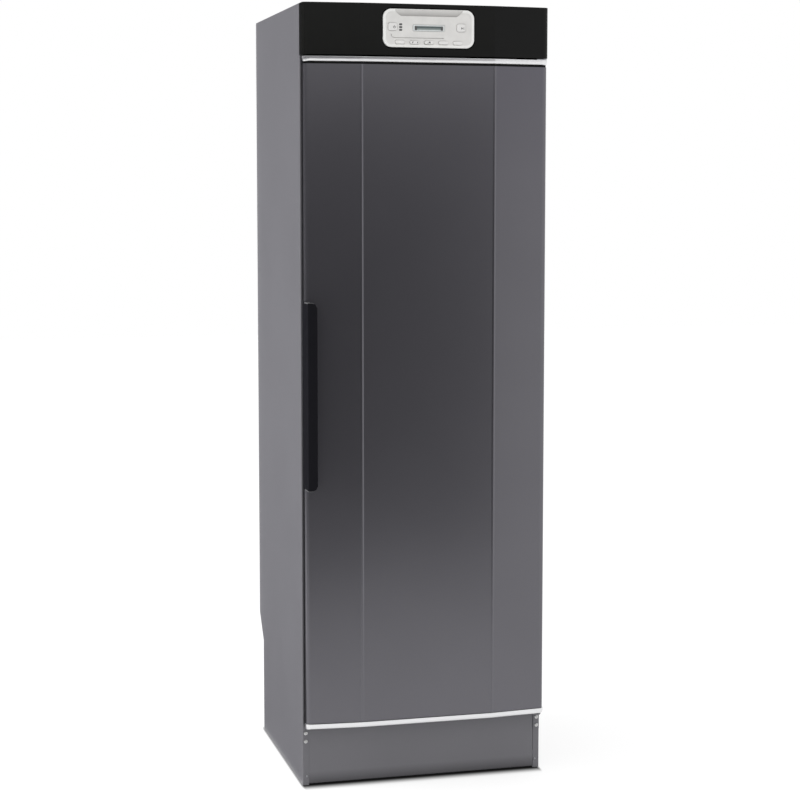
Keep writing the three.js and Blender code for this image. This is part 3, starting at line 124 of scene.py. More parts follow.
FASCIA_BOTTOM = 1731
FASCIA_WALL = 3
PLATE_Z = 1792
PLATE_SIZE = (219.5, 88, 20)  # width, height, corner radius
PLATE_MIDDLE = PLATE_Z + 2  # of its outline
PLATE_FRONT = -50
PLATE_BACK = -43
WELL_FACE = -48.6
BUTTONS = {"power_button": -87, "start_button": 78}
BUTTON_SIZE = (21, 18, 5)
BUTTON_Z = PLATE_Z + 5
BUTTON_PROUD = 1.6
KEY_SIZE = (22, 8, 4)
KEY_Z = PLATE_Z - 30.3
KEY_PITCH = 34.7
KEY_PLACES = [(i - 2) * KEY_PITCH for i in range(5)]
SIGN_RAISE = 1.35  # face of a button's dish, before the face round it
DISPLAY_SIZE = (76, 14, 3)
DISPLAY_Z = PLATE_Z + 3
BROW_SIZE = (154, 15, 5)
BROW_Z = PLATE_MIDDLE + 35.2

CHAMBER_TOP = 1690
RACK_PIVOT_Y = 455
RACK_DEPTH = 370
RACK_HALF = 252.5
RACK_PIVOT_HALF = 261.9  # half the length of the rod that turns
RACK_RODS = 8
RACK_HEIGHTS = {"upper": 1600, "middle": 1140, "lower": 680}
ROD_RADIUS = 4
FAN = (95, 290)

FOOT_X = 252.5
FOOT_INSET = 50  # from the front plane and from the recess
SPIGOT = (-60, BODY_DEPTH - 96)
GLAND = (180, 120)  # x, z

# ---- finishes

CABINET_GREY = (0.163, 0.1605, 0.1745)  # colours are linear RGB
# painted shade for the plinth's lower edge, where it meets the floor
PLINTH_SHADE_GREY = (0.082, 0.080, 0.087)  # the plinth's lower edge


class Graph:
    """The nodes of a material or a world."""

    def __init__(self, owner):
        owner.use_nodes = True
        self.nodes = owner.node_tree.nodes
        self.links = owner.node_tree.links

    def add(self, kind, inputs, **settings):
        """A node with its settings; each input gets a value, or a link from a socket."""
        node = self.nodes.new("ShaderNode" + kind)
        for name, value in settings.items():
            setattr(node, name, value)
        for socket, value in inputs.items():
            if isinstance(value, bpy.types.NodeSocket):
                self.links.new(value, node.inputs[socket])
            else:
                node.inputs[socket].default_value = value
        return node

    def calculated(self, operation, *values):
        """Result of a math node, from numbers and sockets."""
        return self.add("Math", dict(enumerate(values)), operation=operation).outputs[0]


class Finish(Graph):
    """A procedural material: one shader and the texture layers that vary it."""

    def __init__(self, name, colour, roughness, metallic=0.0, specular=0.5):
        self.material = bpy.data.materials.new(name)
        super().__init__(self.material)
        self.shader = self.nodes["Principled BSDF"].inputs
        self.colour = (*colour, 1)
        self.roughness = roughness
        self.shader["Base Color"].default_value = self.colour
        self.shader["Roughness"].default_value = roughness
        self.shader["Metallic"].default_value = metallic
        self.shader["Specular IOR Level"].default_value = specular
        self.place = self.add("TexCoord", {}).outputs["Object"]

    def stretched(self, cell_mm, stretch=(1, 1, 1)):
        """Object coordinates in cells; a small stretch makes them longer along its axis."""
        scale = 1 / (cell_mm * MM)
        node = self.add("Mapping", {"Scale": [scale * s for s in stretch], "Vector": self.place})
        return node.outputs["Vector"]

    def noise(self, cell_mm, detail=2.0, stretch=(1, 1, 1)):
        """Noise whose cells are about cell_mm wide."""
        inputs = {"Scale": 1.0, "Detail": detail, "Vector": self.stretched(cell_mm, stretch)}
        return self.add("TexNoise", inputs).outputs["Fac"]

    def cells(self, cell_mm):
        """Random crystal cells about cell_mm wide."""
        inputs = {"Scale": 1.0, "Vector": self.stretched(cell_mm)}
        return self.add("TexVoronoi", inputs).outputs["Color"]

    def ranged(self, value, low, high, start=0.3, end=0.7):
        """Goes from low to high as the value goes from start to end."""
        inputs = {"Value": value, "From Min": start, "From Max": end, "To Min": low, "To Max": high}
        return self.add("MapRange", inputs).outputs["Result"]

    def coloured(self, factor, first, second, blend="MIX"):
        """Makes a mix of two colours the base colour."""
        inputs = {0: factor, 6: first, 7: second}
        node = self.add("Mix", inputs, data_type="RGBA", blend_type=blend)
        self.links.new(node.outputs[2], self.shader["Base Color"])

    def mottled(self, value, spread, start=0.3, end=0.7):
        """The colour varies by a share of itself, darker to lighter, with the value."""
        links = self.shader["Base Color"].links
        before = links[0].from_socket if links else self.colour
        factor = self.ranged(value, 1 - spread, 1 + spread, start, end)
        self.coloured(1.0, before, factor, "MULTIPLY")

    def faded(self, start_mm, end_mm, colour):
        """The colour runs into another one between two heights."""
        height = self.add("SeparateXYZ", {0: self.place}).outputs["Z"]
        share = self.ranged(height, 0, 1, start_mm * MM, end_mm * MM)
        self.coloured(share, self.colour, (*colour, 1))

    def worn(self, value, spread, start=0.3, end=0.7):
        """The roughness varies by spread to both sides."""
        smooth, rough = max(self.roughness - spread, 0.02), self.roughness + spread
        self.links.new(self.ranged(value, smooth, rough, start, end), self.shader["Roughness"])

    def bumped(self, value, depth_mm):
        """Relief of that depth."""
        node = self.add("Bump", {"Strength": 1.0, "Distance": depth_mm * MM, "Height": value})
        self.links.new(node.outputs["Normal"], self.shader["Normal"])


def satin_paint(name, colour, roughness, metallic, specular=0.5, coat=0.15, shade_colour=None):
    """Metallic enamel: fine flakes, a slow change of tone and a faint orange peel. A shade colour,
    if given, is painted shade that darkens the lower edge towards the floor.
    """
    paint = Finish(name, colour, roughness, metallic, specular)
    # painted shade: the colour darkens towards the floor along the lower edge
    if shade_colour:
        paint.faded(PLINTH_SHADE_TOP, PLINTH_BOTTOM, shade_colour)
    paint.mottled(paint.noise(2.6, 1), 0.012)
    paint.mottled(paint.noise(260, 2), 0.025)
    paint.bumped(paint.noise(7, 1), 0.004)
    paint.shader["Coat Weight"].default_value = coat
    paint.shader["Coat Roughness"].default_value = 0.2
    return paint


def enamel(name, colour, roughness, specular=0.5):
    """Plain powder enamel with a fine peel."""
    paint = Finish(name, colour, roughness, specular=specular)
    paint.mottled(paint.noise(180, 2), 0.03)
    paint.worn(paint.noise(60, 3), 0.04)
    paint.bumped(paint.noise(1.6, 2), 0.01)
    return paint


def plated(name, colour, roughness, spangle_mm):
    """Zinc plating: crystal spangle, faint rolling lines and uneven dullness."""
    zinc = Finish(name, colour, roughness, metallic=0.85)
    zinc.mottled(zinc.cells(spangle_mm), 0.08, 0.0, 1.0)
    zinc.mottled(zinc.noise(120, 3), 0.05)
    zinc.worn(zinc.cells(spangle_mm), 0.07, 0.0, 1.0)
    zinc.bumped(zinc.noise(1.2, 2, (1, 1, 0.05)), 0.003)
    return zinc


def moulded(name, colour, roughness, grain_mm=0.6, depth_mm=0.012, specular=0.5):
    """Moulded plastic or rubber with a spark-eroded grain."""
    plastic = Finish(name, colour, roughness, specular=specular)
    plastic.mottled(plastic.noise(25, 2), 0.04)
    plastic.worn(plastic.noise(18, 3), 0.04)
    plastic.bumped(plastic.noise(grain_mm, 2), depth_mm)
    return plastic


def satin_silver(name, colour):
    """Silver trim: drawn along its length, with a thin lacquer."""
    silver = Finish(name, colour, 0.31, metallic=0.92)
    silver.mottled(silver.noise(30, 2, (0.3, 1, 1)), 0.02)
    silver.worn(silver.noise(0.8, 2, (0.01, 1, 1)), 0.025)
    silver.bumped(silver.noise(0.8, 2, (0.01, 1, 1)), 0.001)
    return silver


def gloss_window(name, colour):
    """Smoked window: smooth, with a trace of dust in the gloss."""
    window = Finish(name, colour, 0.12)
    window.mottled(window.noise(6, 2), 0.06)
    window.worn(window.noise(12, 3), 0.04)
    window.bumped(window.noise(9, 1), 0.003)
    return window


def liquid_crystal(name, colour, low_colour):
    """Dark display bar with a painted reflection that lightens it towards its lower edge."""
    bar = Finish(name, colour, 0.2)
    bar.faded(DISPLAY_Z + 1.5, DISPLAY_Z - 4.0, low_colour)
    bar.mottled(bar.noise(4, 2), 0.08)
    bar.worn(bar.noise(9, 2), 0.04)
    return bar


def shaded_silver(name, colour, low_colour):
    """Plate colour with painted shade that darkens down the scoop."""
    top = PLATE_MIDDLE + 42.7
    silver = Finish(name, colour, 0.38)
    silver.faded(top, top - BROW_SIZE[1], low_colour)
    silver.mottled(silver.noise(25, 2), 0.03)
    return silver


def circuit_board(name, colour):
    """Solder mask with fine straight tracks."""
    board = Finish(name, colour, 0.35)
    board.mottled(board.noise(2.4, 1, (0.06, 1, 1)), 0.35, 0.45, 0.55)
    board.mottled(board.noise(2.4, 1, (1, 1, 0.06)), 0.25, 0.45, 0.55)
    board.bumped(board.noise(2.4, 1, (0.06, 1, 1)), 0.03)
    return board


def wool(name, colour):
    """Matted mineral wool."""
    batt = Finish(name, colour, 0.95, specular=0.1)
    batt.mottled(batt.noise(3, 5), 0.35)
    batt.bumped(batt.noise(1.5, 5, (0.3, 1, 1)), 1.2)
    return batt


RECIPES = {  # maker, colour, roughness and what else it takes
    "cabinet_paint": (satin_paint, CABINET_GREY, 0.42, 0.15, 0.35, 0.05),
    # the plinth's paint carries painted shade along its lower edge
    "plinth_paint": (satin_paint, CABINET_GREY, 0.42, 0.15, 0.35, 0.05, PLINTH_SHADE_GREY),
    "door_paint": (satin_paint, (0.140, 0.137, 0.152), 0.295, 0.80),
    "chamber_paint": (enamel, (0.70, 0.71, 0.72), 0.42),
    "black_paint": (enamel, (0.006, 0.006, 0.007), 0.5, 0.2),
    "zinc_steel": (plated, (0.46, 0.47, 0.49), 0.40, 14),
    "bright_zinc": (plated, (0.62, 0.62, 0.62), 0.32, 2),
    "rack_steel": (moulded, (0.56, 0.57, 0.59), 0.38, 0.8, 0.02),
    "motor_steel": (enamel, (0.05, 0.053, 0.06), 0.5),
    "heater_steel": (plated, (0.13, 0.10, 0.085), 0.45, 9),
    "fascia_plastic": (moulded, (0.0062, 0.0064, 0.0058), 0.33, 1.4, 0.003, 0.16),
    "grip_plastic": (moulded, (0.0102, 0.010, 0.0125), 0.55, 0.7, 0.008, 0.03),
    # light grey of the grip's ends: a painted highlight on the black grip
    "grip_end": (moulded, (0.13, 0.13, 0.135), 0.45, 0.7, 0.008),
    "silver_trim": (satin_silver, (0.80, 0.80, 0.81)),
    "plate_plastic": (moulded, (0.77, 0.76, 0.74), 0.36, 0.5, 0.004),
    # lighter than the plate plastic: a painted highlight on the raised rim
    "plate_rim": (moulded, (0.90, 0.90, 0.88), 0.33, 0.5, 0.003),
    "button_plastic": (moulded, (0.84, 0.83, 0.815), 0.32, 0.5, 0.003),
    # painted shade down the scoop under the plate's upper edge
    "plate_brow": (shaded_silver, (0.71, 0.70, 0.68), (0.46, 0.45, 0.44)),
    "display_window": (gloss_window, (0.70, 0.73, 0.73)),
    # its lighter lower edge is a painted reflection
    "display_bar": (liquid_crystal, (0.080, 0.108, 0.110), (0.33, 0.37, 0.36)),
    "board": (circuit_board, (0.012, 0.085, 0.035)),
    "insulation": (wool, (0.52, 0.43, 0.27)),
    "gasket_rubber": (moulded, (0.035, 0.035, 0.037), 0.6, 0.9, 0.02, 0.35),
    "foot_rubber": (moulded, (0.018, 0.018, 0.018), 0.7, 0.9, 0.03, 0.35),
    "nylon_black": (moulded, (0.016, 0.016, 0.017), 0.45),
    "nylon_white": (moulded, (0.62, 0.62, 0.59), 0.4),
    "spigot_plastic": (moulded, (0.50, 0.50, 0.485), 0.45),
    "dark_marks": (moulded, (0.085, 0.085, 0.085), 0.5, 0.5, 0.002),
}

FINISHES = {name: make(name, *values).material for name, (make, *values) in RECIPES.items()}

# ---- mesh tools

WELD = 2e-6  # points closer than this are one, in metres


def loft(rings, loop=False):
    """Skin over rings of equally many points, capped at its ends or joined end to end."""
    count = len(rings[0])
    verts = [tuple(point) for ring in rings for point in ring]
    faces = []
    for k in range(len(rings) if loop else len(rings) - 1):
        a, b = k * count, (k + 1) % len(rings) * count
        faces += [(a + i, a + (i + 1) % count, b + (i + 1) % count, b + i) for i in range(count)]
    if not loop:
        faces += [tuple(reversed(range(count))), tuple(range(len(verts) - count, len(verts)))]
    return verts, faces


def merged(*meshes):
    """Several meshes as one."""
    verts, faces = [], []
    for more, skin in meshes:
        faces += [tuple(i + len(verts) for i in face) for face in skin]
        verts += more
    return verts, faces


def upward(layers):
    """Skin over (z, outline) layers, each outline of (x, y) points."""
    return loft([[(x, y, z) for x, y in outline] for z, outline in layers])


def standing(outline, z0, z1):
    """Outline of (x, y) points, from z0 up to z1."""
    return upward([(z0, outline), (z1, outline)])


def inward(layers, loop=False):
    """Skin over (y, outline) layers, each outline of (x, z) points."""
    return loft([[(x, y, z) for x, z in outline] for y, outline in layers], loop)


def facing(outline, y0, y1):
    """Outline of (x, z) points, from y0 at the front to y1."""
    return inward([(y0, outline), (y1, outline)])


def crosswise(outline, x0, x1):
    """Outline of (y, z) points, from x0 to x1."""
    return loft([[(x, y, z) for y, z in outline] for x in (x0, x1)])


def block(low, high):
    """Box between two corners."""
    (x0, y0, z0), (x1, y1, z1) = low, high
    return standing([(x0, y0), (x1, y0), (x1, y1), (x0, y1)], z0, z1)


def round_rect(width, height, radius, u=0.0, v=0.0, steps=8):
    """Rectangle with round corners about (u, v), always 4 * (steps + 1) points."""
    radius = max(min(radius, width / 2, height / 2), 0.01)
    points = []
    for quarter, (su, sv) in enumerate(((1, 1), (-1, 1), (-1, -1), (1, -1))):
        for i in range(steps + 1):
            angle = (quarter + i / steps) * math.pi / 2
            points.append((
                u + su * (width / 2 - radius) + radius * math.cos(angle),
                v + sv * (height / 2 - radius) + radius * math.sin(angle)))
    return points


def stepped_plate(size, steps, centre=(0, 0), corner_steps=8, loop=False):
    """Plate of that width, height and radius from (inset, y) steps, or a frame if looped."""
    layers = []
    for inset, y in steps:
        width, height, radius = size[0] - 2 * inset, size[1] - 2 * inset, size[2] - inset
        layers.append((y, round_rect(width, height, radius, *centre, corner_steps)))
    return inward(layers, loop)


def turned(profile, centre, axis="z", segments=48):
    """Closed (radius, height) profile turned about the upright through centre, or along y."""
    cx, cy, cz = centre
    rings = []
    for i in range(segments):
        angle = 2 * math.pi * i / segments
        c, s = math.cos(angle), math.sin(angle)
        if axis == "z":
            rings.append([(cx + r * c, cy + r * s, cz + h) for r, h in profile])
        else:
            rings.append([(cx + r * c, cy + h, cz + r * s) for r, h in profile])
    return loft(rings, loop=True)


def rod(start, end, radius):
    """Round bar between two points with slightly rounded ends."""
    a, b = Vector(start), Vector(end)
    along = (b - a).normalized()
    across = along.orthogonal().normalized()
    up = along.cross(across)
    length = (b - a).length
    levels = [(0, radius - 1), (0.3, radius - 0.3), (1, radius)]
    levels += [(length - offset, size) for offset, size in reversed(levels)]
    turns = [2 * math.pi * i / 20 for i in range(20)]
    return loft([
        [a + along * offset + (across * math.cos(t) + up * math.sin(t)) * size for t in turns]
        for offset, size in levels])


def bent_sheet(path, thickness):
    """Closed outline of a sheet that follows the path and is thickened to its left."""
    points = [Vector(p) for p in path]
    normals = []
    for a, b in zip(points, points[1:]):
        along = (b - a).normalized()
        normals.append(Vector((-along.y, along.x)))
    inner = []
    for i, point in enumerate(points):
        before, after = normals[max(i - 1, 0)], normals[min(i, len(normals) - 1)]
        mitre = (before + after).normalized()
        inner.append(point + mitre * (thickness / mitre.dot(after)))
    return [tuple(p) for p in points] + [tuple(p) for p in reversed(inner)]


def arc(centre, radius, start, end, steps=6):
    """Points on an arc, with angles in degrees."""
    angles = [math.radians(start + (end - start) * i / steps) for i in range(steps + 1)]
    return [(centre[0] + radius * math.cos(a), centre[1] + radius * math.sin(a)) for a in angles]


def mesh_data(name, mesh):
    """Blender mesh in the row frame, welded, with its faces turned outwards."""
    verts, faces = mesh
    data = bpy.data.meshes.new(name)
    data.from_pydata([(x * MM, y * MM + FRONT_PLANE, z * MM) for x, y, z in verts], [], faces)
    work = bmesh.new()
    work.from_mesh(data)
    bmesh.ops.remove_doubles(work, verts=work.verts, dist=WELD)
    bmesh.ops.dissolve_degenerate(work, edges=work.edges, dist=1e-6)
    bmesh.ops.recalc_face_normals(work, faces=work.faces)
    work.to_mesh(data)
    work.free()
    return data


def placed(name, data):
    """New object in the scene."""
    obj = bpy.data.objects.new(name, data)
    bpy.context.scene.collection.objects.link(obj)
    return obj


def carve(obj, cutter_mesh):
    """Cuts the cutter's solid out of obj and keeps the result as obj's mesh."""
    cutter = placed("cutter", mesh_data("cutter", cutter_mesh))
    modifier = obj.modifiers.new("carve", "BOOLEAN")
    modifier.operation, modifier.solver, modifier.object = "DIFFERENCE", "EXACT", cutter
    modifier.use_self = True
    bpy.context.view_layer.update()
    cut = obj.evaluated_get(bpy.context.evaluated_depsgraph_get())
    result = bpy.data.meshes.new_from_object(cut)
    obj.modifiers.clear()
    obj.data = result
    bpy.data.objects.remove(cutter)


def soften(obj, bevel_mm, angle=30):
    """Rounds the edges sharper than the angle and shades the rest smoothly."""
    weld = obj.modifiers.new("weld", "WELD")
    weld.merge_threshold = WELD
    if bevel_mm:
        bevel = obj.modifiers.new("edges", "BEVEL")
        bevel.width, bevel.segments = bevel_mm * MM, 3
        bevel.limit_method, bevel.angle_limit = "ANGLE", math.radians(angle)
        bevel.harden_normals = True
        bevel.use_clamp_overlap = True
    normals = obj.modifiers.new("shading", "WEIGHTED_NORMAL")
    normals.keep_sharp = True


def piece(name, mesh, finish, body="cabinet", stands_for=None, cut=None, bevel=0.0, angle=30):
    """A finished piece on a body, made from a mesh in millimetres."""
    obj = placed(name, mesh_data(name, mesh))
    if cut:
        carve(obj, cut)
    obj.data.materials.clear()
    obj.data.materials.append(FINISHES[finish])
    for face in obj.data.polygons:
        face.use_smooth = True
    obj.data.set_sharp_from_angle(angle=math.radians(angle))
    soften(obj, bevel, angle)
    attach(obj, body)
    if stands_for:
        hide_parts(stands_for)


def refinish(finish, *names, bevel=0.4):
    """CAD nodes that keep their shape: a finish, and edges that catch the light."""
    for name in names:
        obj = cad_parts[name]
        obj.data.materials.clear()
        obj.data.materials.append(FINISHES[finish])
        soften(obj, bevel)


# ---- faceted front


def front_line(half, inset, bead=0.0, side_inset=None):
    """(x, y) points of the faceted front, from the left side round to the right."""
    side = half - (inset if side_inset is None else side_inset)
    radius = max(DOOR_CORNER_RADIUS - inset, 1)
    slope = FACET_DROP / (half - CREASE_X)
    steep = slope * CORNER_STRETCH

    def facet(x):
        return DOOR_FRONT + inset + slope * max(-x - CREASE_X, 0)

    middle = (radius, facet(-side + CORNER_STRETCH * radius) + radius * math.hypot(1, steep))
    turn = 90 - math.degrees(math.atan(steep))
    corner = arc(middle, radius, 180, 180 + turn, 9)
    left = [(-side + CORNER_STRETCH * x, y) for x, y in corner]
    for i in range(-BEAD_STEPS, BEAD_STEPS + 1):
        x = -CREASE_X + BEAD_WIDTH / 2 * i / BEAD_STEPS
        left.append((x, facet(x) - bead * math.cos(math.pi * i / (2 * BEAD_STEPS)) ** 2))
    return left + [(-x, y) for x, y in reversed(left)]


def front_outline(half, inset, rear, bead=0.0, side_inset=None):
    """The front line, closed at the rear."""
    line = front_line(half, inset, bead, side_inset)
    return [(line[0][0], rear)] + line + [(line[-1][0], rear)]


# ---- cabinet shell


def side_panel(side):
    """Side sheet bent round the front corner into a flange with a hemmed edge."""
    r = PANEL_BEND
    corner = arc((HALF_WIDTH - r, r), r, 0, -90)
    path = [(HALF_WIDTH, BODY_DEPTH)] + corner + [(COLUMN_INNER, 0), (COLUMN_INNER, COLUMN_HEM)]
    outline = bent_sheet(path, -SHEET)
    return standing([(side * x, y) for x, y in outline], SIDE_BOTTOM, HEIGHT)


def recess_tool():
    """Cuts the services recess out of a side panel."""
    far = BODY_DEPTH + 2
    slope = (RECESS_TOP_Z - RECESS_Z) / (BODY_DEPTH - RECESS_Y)
    corners = [(RECESS_Y, -2), (far, -2), (far, RECESS_TOP_Z + 2 * slope), (RECESS_Y, RECESS_Z)]
    return crosswise(corners, -320, 320)


def plinth():
    """Plinth sheet, bent back at its top and bottom."""
    r = PLINTH_BEND
    path = [(PLINTH_DEPTH, PLINTH_TOP), *arc((r, PLINTH_TOP - r), r, 90, 180, 5),
            *arc((r, PLINTH_BOTTOM + r), r, 180, 270, 5), (PLINTH_DEPTH, PLINTH_BOTTOM)]
    return crosswise(bent_sheet(path, SHEET), *PLINTH_ENDS)


def screw(x, y, z, radius, axis):
    """Pan head screw with its head towards the front (axis y), the rear (-y), or up (z)."""
    sign = -1 if axis == "y" else 1
    dome = [(1, 0), (1, 0.25), (0.93, 0.6), (0.7, 0.88), (0.4, 1)]
    profile = [(share * radius, sign * rise * SCREW_HEAD) for share, rise in dome]
    profile += [(0.01, sign * SCREW_HEAD), (0.01, 0)]
    return turned(profile, (x, y, z), axis[-1], 28)


def cross_recess(x, y, z, radius, axis):
    """Cutting tool for the cross in a screw's head."""
    arm, width = 0.6 * radius, 0.19 * radius
    shapes = ((arm, width), (width, arm))
    if axis == "z":
        low, high = z + 0.25 * SCREW_HEAD, z + SCREW_HEAD + 1
        return merged(*(block((x - a, y - b, low), (x + a, y + b, high)) for a, b in shapes))
    sign = -1 if axis == "y" else 1
    near, far = sorted((y + sign * 0.25 * SCREW_HEAD, y + sign * (SCREW_HEAD + 1)))
    return merged(*(block((x - a, near, z - b), (x + a, far, z + b)) for a, b in shapes))


def screws(name, places, radius, axis="y", finish="zinc_steel", stands_for=None):
    """Row of screws as one piece."""
    heads = merged(*(screw(*place, radius, axis) for place in places))
    tool = merged(*(cross_recess(*place, radius, axis) for place in places))
    piece(name, heads, finish, stands_for=stands_for, cut=tool)


def field_tool(x, z):
    """Pressed field of the rear panel, with sloped sides."""
    steps = [(inset, BODY_DEPTH - depth) for inset, depth in (
        (-1.6, -1), (-0.4, 0.3), (0, 0.9), (3.2, 2.2), (4.6, FIELD_DEPTH))]
    return stepped_plate(REAR_FIELD, steps, (x, z), 6)


def build_rear():
    """Rear panel bent round the recess: pressed fields, intake slots, cable hole and screws."""
    path = [(RECESS_Y, 20), (RECESS_Y, RECESS_Z), (BODY_DEPTH, RECESS_TOP_Z), (BODY_DEPTH, HEIGHT)]
    sheet = crosswise(bent_sheet(path, SHEET), -PANEL_HALF, PANEL_HALF)
    backing = block((-264, BODY_DEPTH - 5.4, 352), (264, BODY_DEPTH - 0.6, 1676))
    tools = [field_tool(x, z) for x in REAR_FIELD_X for z in REAR_FIELD_Z]
    for width, x, low, rows, depth in VENTS:
        tools += [facing(round_rect(width, 5, 2.5, x, low + 15 * i, 5),
                         BODY_DEPTH - depth, BODY_DEPTH + 2) for i in range(rows)]
    x, z = GLAND
    tools.append(turned([(0.01, -4), (11.3, -4), (11.3, 4), (0.01, 4)], (x, RECESS_Y, z), "y", 32))
    piece("rear_sheet", merged(sheet, backing), "zinc_steel", stands_for="rear_panel",
          cut=merged(*tools), bevel=0.4)
    places = [(side * 286, BODY_DEPTH, 345 + 212 * i) for side in (-1, 1) for i in range(8)]
    places += [(x, BODY_DEPTH, 1832) for x in (-96, 96)]
    places += [(x, RECESS_Y, z) for x in (-284, 284) for z in (44, 218)]
    screws("rear_screws", places, 4, "-y")


def lower_hinge():
    """Plate on the right front flange, with a rounded tongue that carries the door's pin."""
    (x, y), reach = HINGE_AXIS, HINGE_REACH
    plate = block((COLUMN_INNER, -FIT - HINGE_PLATE, HINGE_BOTTOM), (HINGE_OUTER, -FIT, HINGE_TOP))
    tongue = [(x - reach, -FIT), *arc(HINGE_AXIS, reach, 180, 360, 16), (x + reach, -FIT)]
    pin = turned([(0.01, -1), (4, -1), (4, 15), (3, 16), (0.01, 16)], (x, y, HINGE_TOP))
    return merged(plate, standing(tongue, HINGE_TOP - HINGE_TONGUE, HINGE_TOP), pin)


def build_shell():
    """Side, rear and top panels, plinth, base, front frame, hinges and their screws."""
    for side, name in SIDES:
        piece(f"{name}_side_sheet", side_panel(side), "cabinet_paint",
              stands_for=f"{name}_side_panel", cut=recess_tool(), bevel=0.4)
    piece("plinth_sheet", plinth(), "plinth_paint", stands_for="plinth")
    refinish("cabinet_paint", "top_panel", bevel=0.8)
    build_rear()
    refinish("zinc_steel", "base_tray", bevel=0.5)
    refinish("black_paint", "front_frame", bevel=0.6)
    for side, name in SIDES:
        seat = -FIT if name == "left" else -2 * FIT - HINGE_PLATE  # on the flange or on the hinge
        for i, z in enumerate(HINGE_SCREW_Z, 1):
            screws(f"{name}_hinge_screw_head_{i}", [(side * HINGE_SCREW_X, seat, z)], 4.7,
                   finish="bright_zinc", stands_for=f"{name}_hinge_screw_{i}")
    screws("column_foot_screws", [(x, 0, 24) for x in (-286.5, 286.5)], 2.6)
    screws("top_screws", [(x, y, HEIGHT) for x in (-283, 283) for y in (40, 285, 530)], 3.6, "z")
    piece("lower_hinge_plate", lower_hinge(), "cabinet_paint", stands_for="lower_hinge", bevel=0.4)
    refinish("zinc_steel", "upper_hinge", bevel=0.5)


# ---- door


def door_panel():
    """Bent door skin: two creases with a pressed bead, rounded corners, a thin edge all round."""
    outer = front_outline(DOOR_HALF, 0, SKIN_REAR, BEAD_HEIGHT)
    inner = front_outline(DOOR_HALF, SHEET, SKIN_REAR, BEAD_HEIGHT)
    return standing(outer + list(reversed(inner)), SKIN_BOTTOM, SKIN_TOP)


def door_trim(bottom, top):
    """Trim across the door: its front curves back to its lower edge, its ends lap the sides."""
    return upward([
        (bottom + share * (top - bottom),
         front_outline(DOOR_HALF, back - TRIM_PROUD, SKIN_REAR, 0, back * 0.45 - TRIM_SIDE_PROUD))
        for share, back in TRIM_PROFILE])


def bush_tool():
    """Cuts both trims clear of the hinge bushes."""
    profile = [(6.5, -20), (6.5, 20), (0.01, 20), (0.01, -20)]
    heights = (BOTTOM_TRIM[0], TOP_TRIM[1])
    return merged(*(turned(profile, (*HINGE_AXIS, z), "z", 32) for z in heights))


def grip_outline(inset):
    """Grip seen from the front: its free corners on the right are bevelled."""
    left, right, bevel = GRIP_LEFT + inset, GRIP_RIGHT - inset, GRIP_BEVEL
    low, high = GRIP_BOTTOM + inset, GRIP_TOP - inset
    shoulder = right - bevel * 0.35
    return [(left, low), (right - bevel, low), (shoulder, low + bevel * 0.3), (right, low + bevel),
            (right, high - bevel), (shoulder, high - bevel * 0.3), (right - bevel, high),
            (left, high)]


def grip():
    """Grip on the door's left edge, before it is hollowed out."""
    front = GRIP_FRONT
    return inward([(y, grip_outline(inset)) for y, inset in (
        (SKIN_REAR, 0), (front + 3.4, 0), (front + 1.6, 0.35), (front + 0.5, 1.2), (front, 2.6))])


def grip_cap(high):
    """Thin lid over one end of the grip, down to its bevelled corner; its light grey is a painted
    highlight on the grip's end.
    """
    sign, end = (1, GRIP_TOP) if high else (-1, GRIP_BOTTOM)
    rear, edge, drop = DOOR_FRONT + 2, GRIP_RIGHT - GRIP_BEVEL, sign * 1.6
    rings = []
    for rise, inset in ((-GRIP_CAP, 0.1), (0.1, 0.1), (0.5, 0.5)):
        z = end + sign * rise
        left, front = GRIP_LEFT - 0.2 + inset, GRIP_FRONT + 1.2 + inset
        rings.append([(left, rear, z), (left, front, z), (edge - inset, front, z),
                      (edge + 3.5, front + 1.5, z - drop), (edge + 3.5, rear, z - drop),
                      (edge - inset, rear, z)])
    return loft(rings)


def grip_hollow():
    """Finger space behind the grip's front wall, and the door that its flank laps."""
    wall = GRIP_WALL
    pocket = block((GRIP_LEFT + wall, GRIP_FRONT + wall, GRIP_BOTTOM + wall),
                   (GRIP_RIGHT + 9, SKIN_REAR + 5, GRIP_TOP - wall))
    door = standing(front_outline(DOOR_HALF, -FIT, SKIN_REAR + 2), GRIP_BOTTOM - 5, GRIP_TOP + 5)
    return merged(pocket, door)


def door_gasket():
    """Seal with a soft bellows and a round lip, mitred round the chamber opening."""
    low, high = 188.5, 1691.5
    section = ((0.6, -5.7), (11.4, -5.7), (11.9, -5.2), (10.6, -4.3), (11.8, -3.3),
               (11.2, -1.6), (9.6, -0.5), (6.0, -0.3), (2.4, -0.5), (0.8, -1.6), (0.2, -3.3),
               (1.4, -4.3), (0.1, -5.2))
    steps = [(-outset, y) for outset, y in section]
    return stepped_plate((2 * 264, high - low, 6), steps, (0, (low + high) / 2), 5, loop=True)


def door_liner():
    """Inner liner pressed into a raised field with round corners."""
    low, high = 172.6, 1701.7
    steps = ((0, -7), (0, -6.2), (0.3, -6), (24, -6), (27, -5.6), (31, -2.4), (34, -1.6),
             (38, -1.5))
    return stepped_plate((2 * 271.7, high - low, 8), steps, (0, (low + high) / 2))


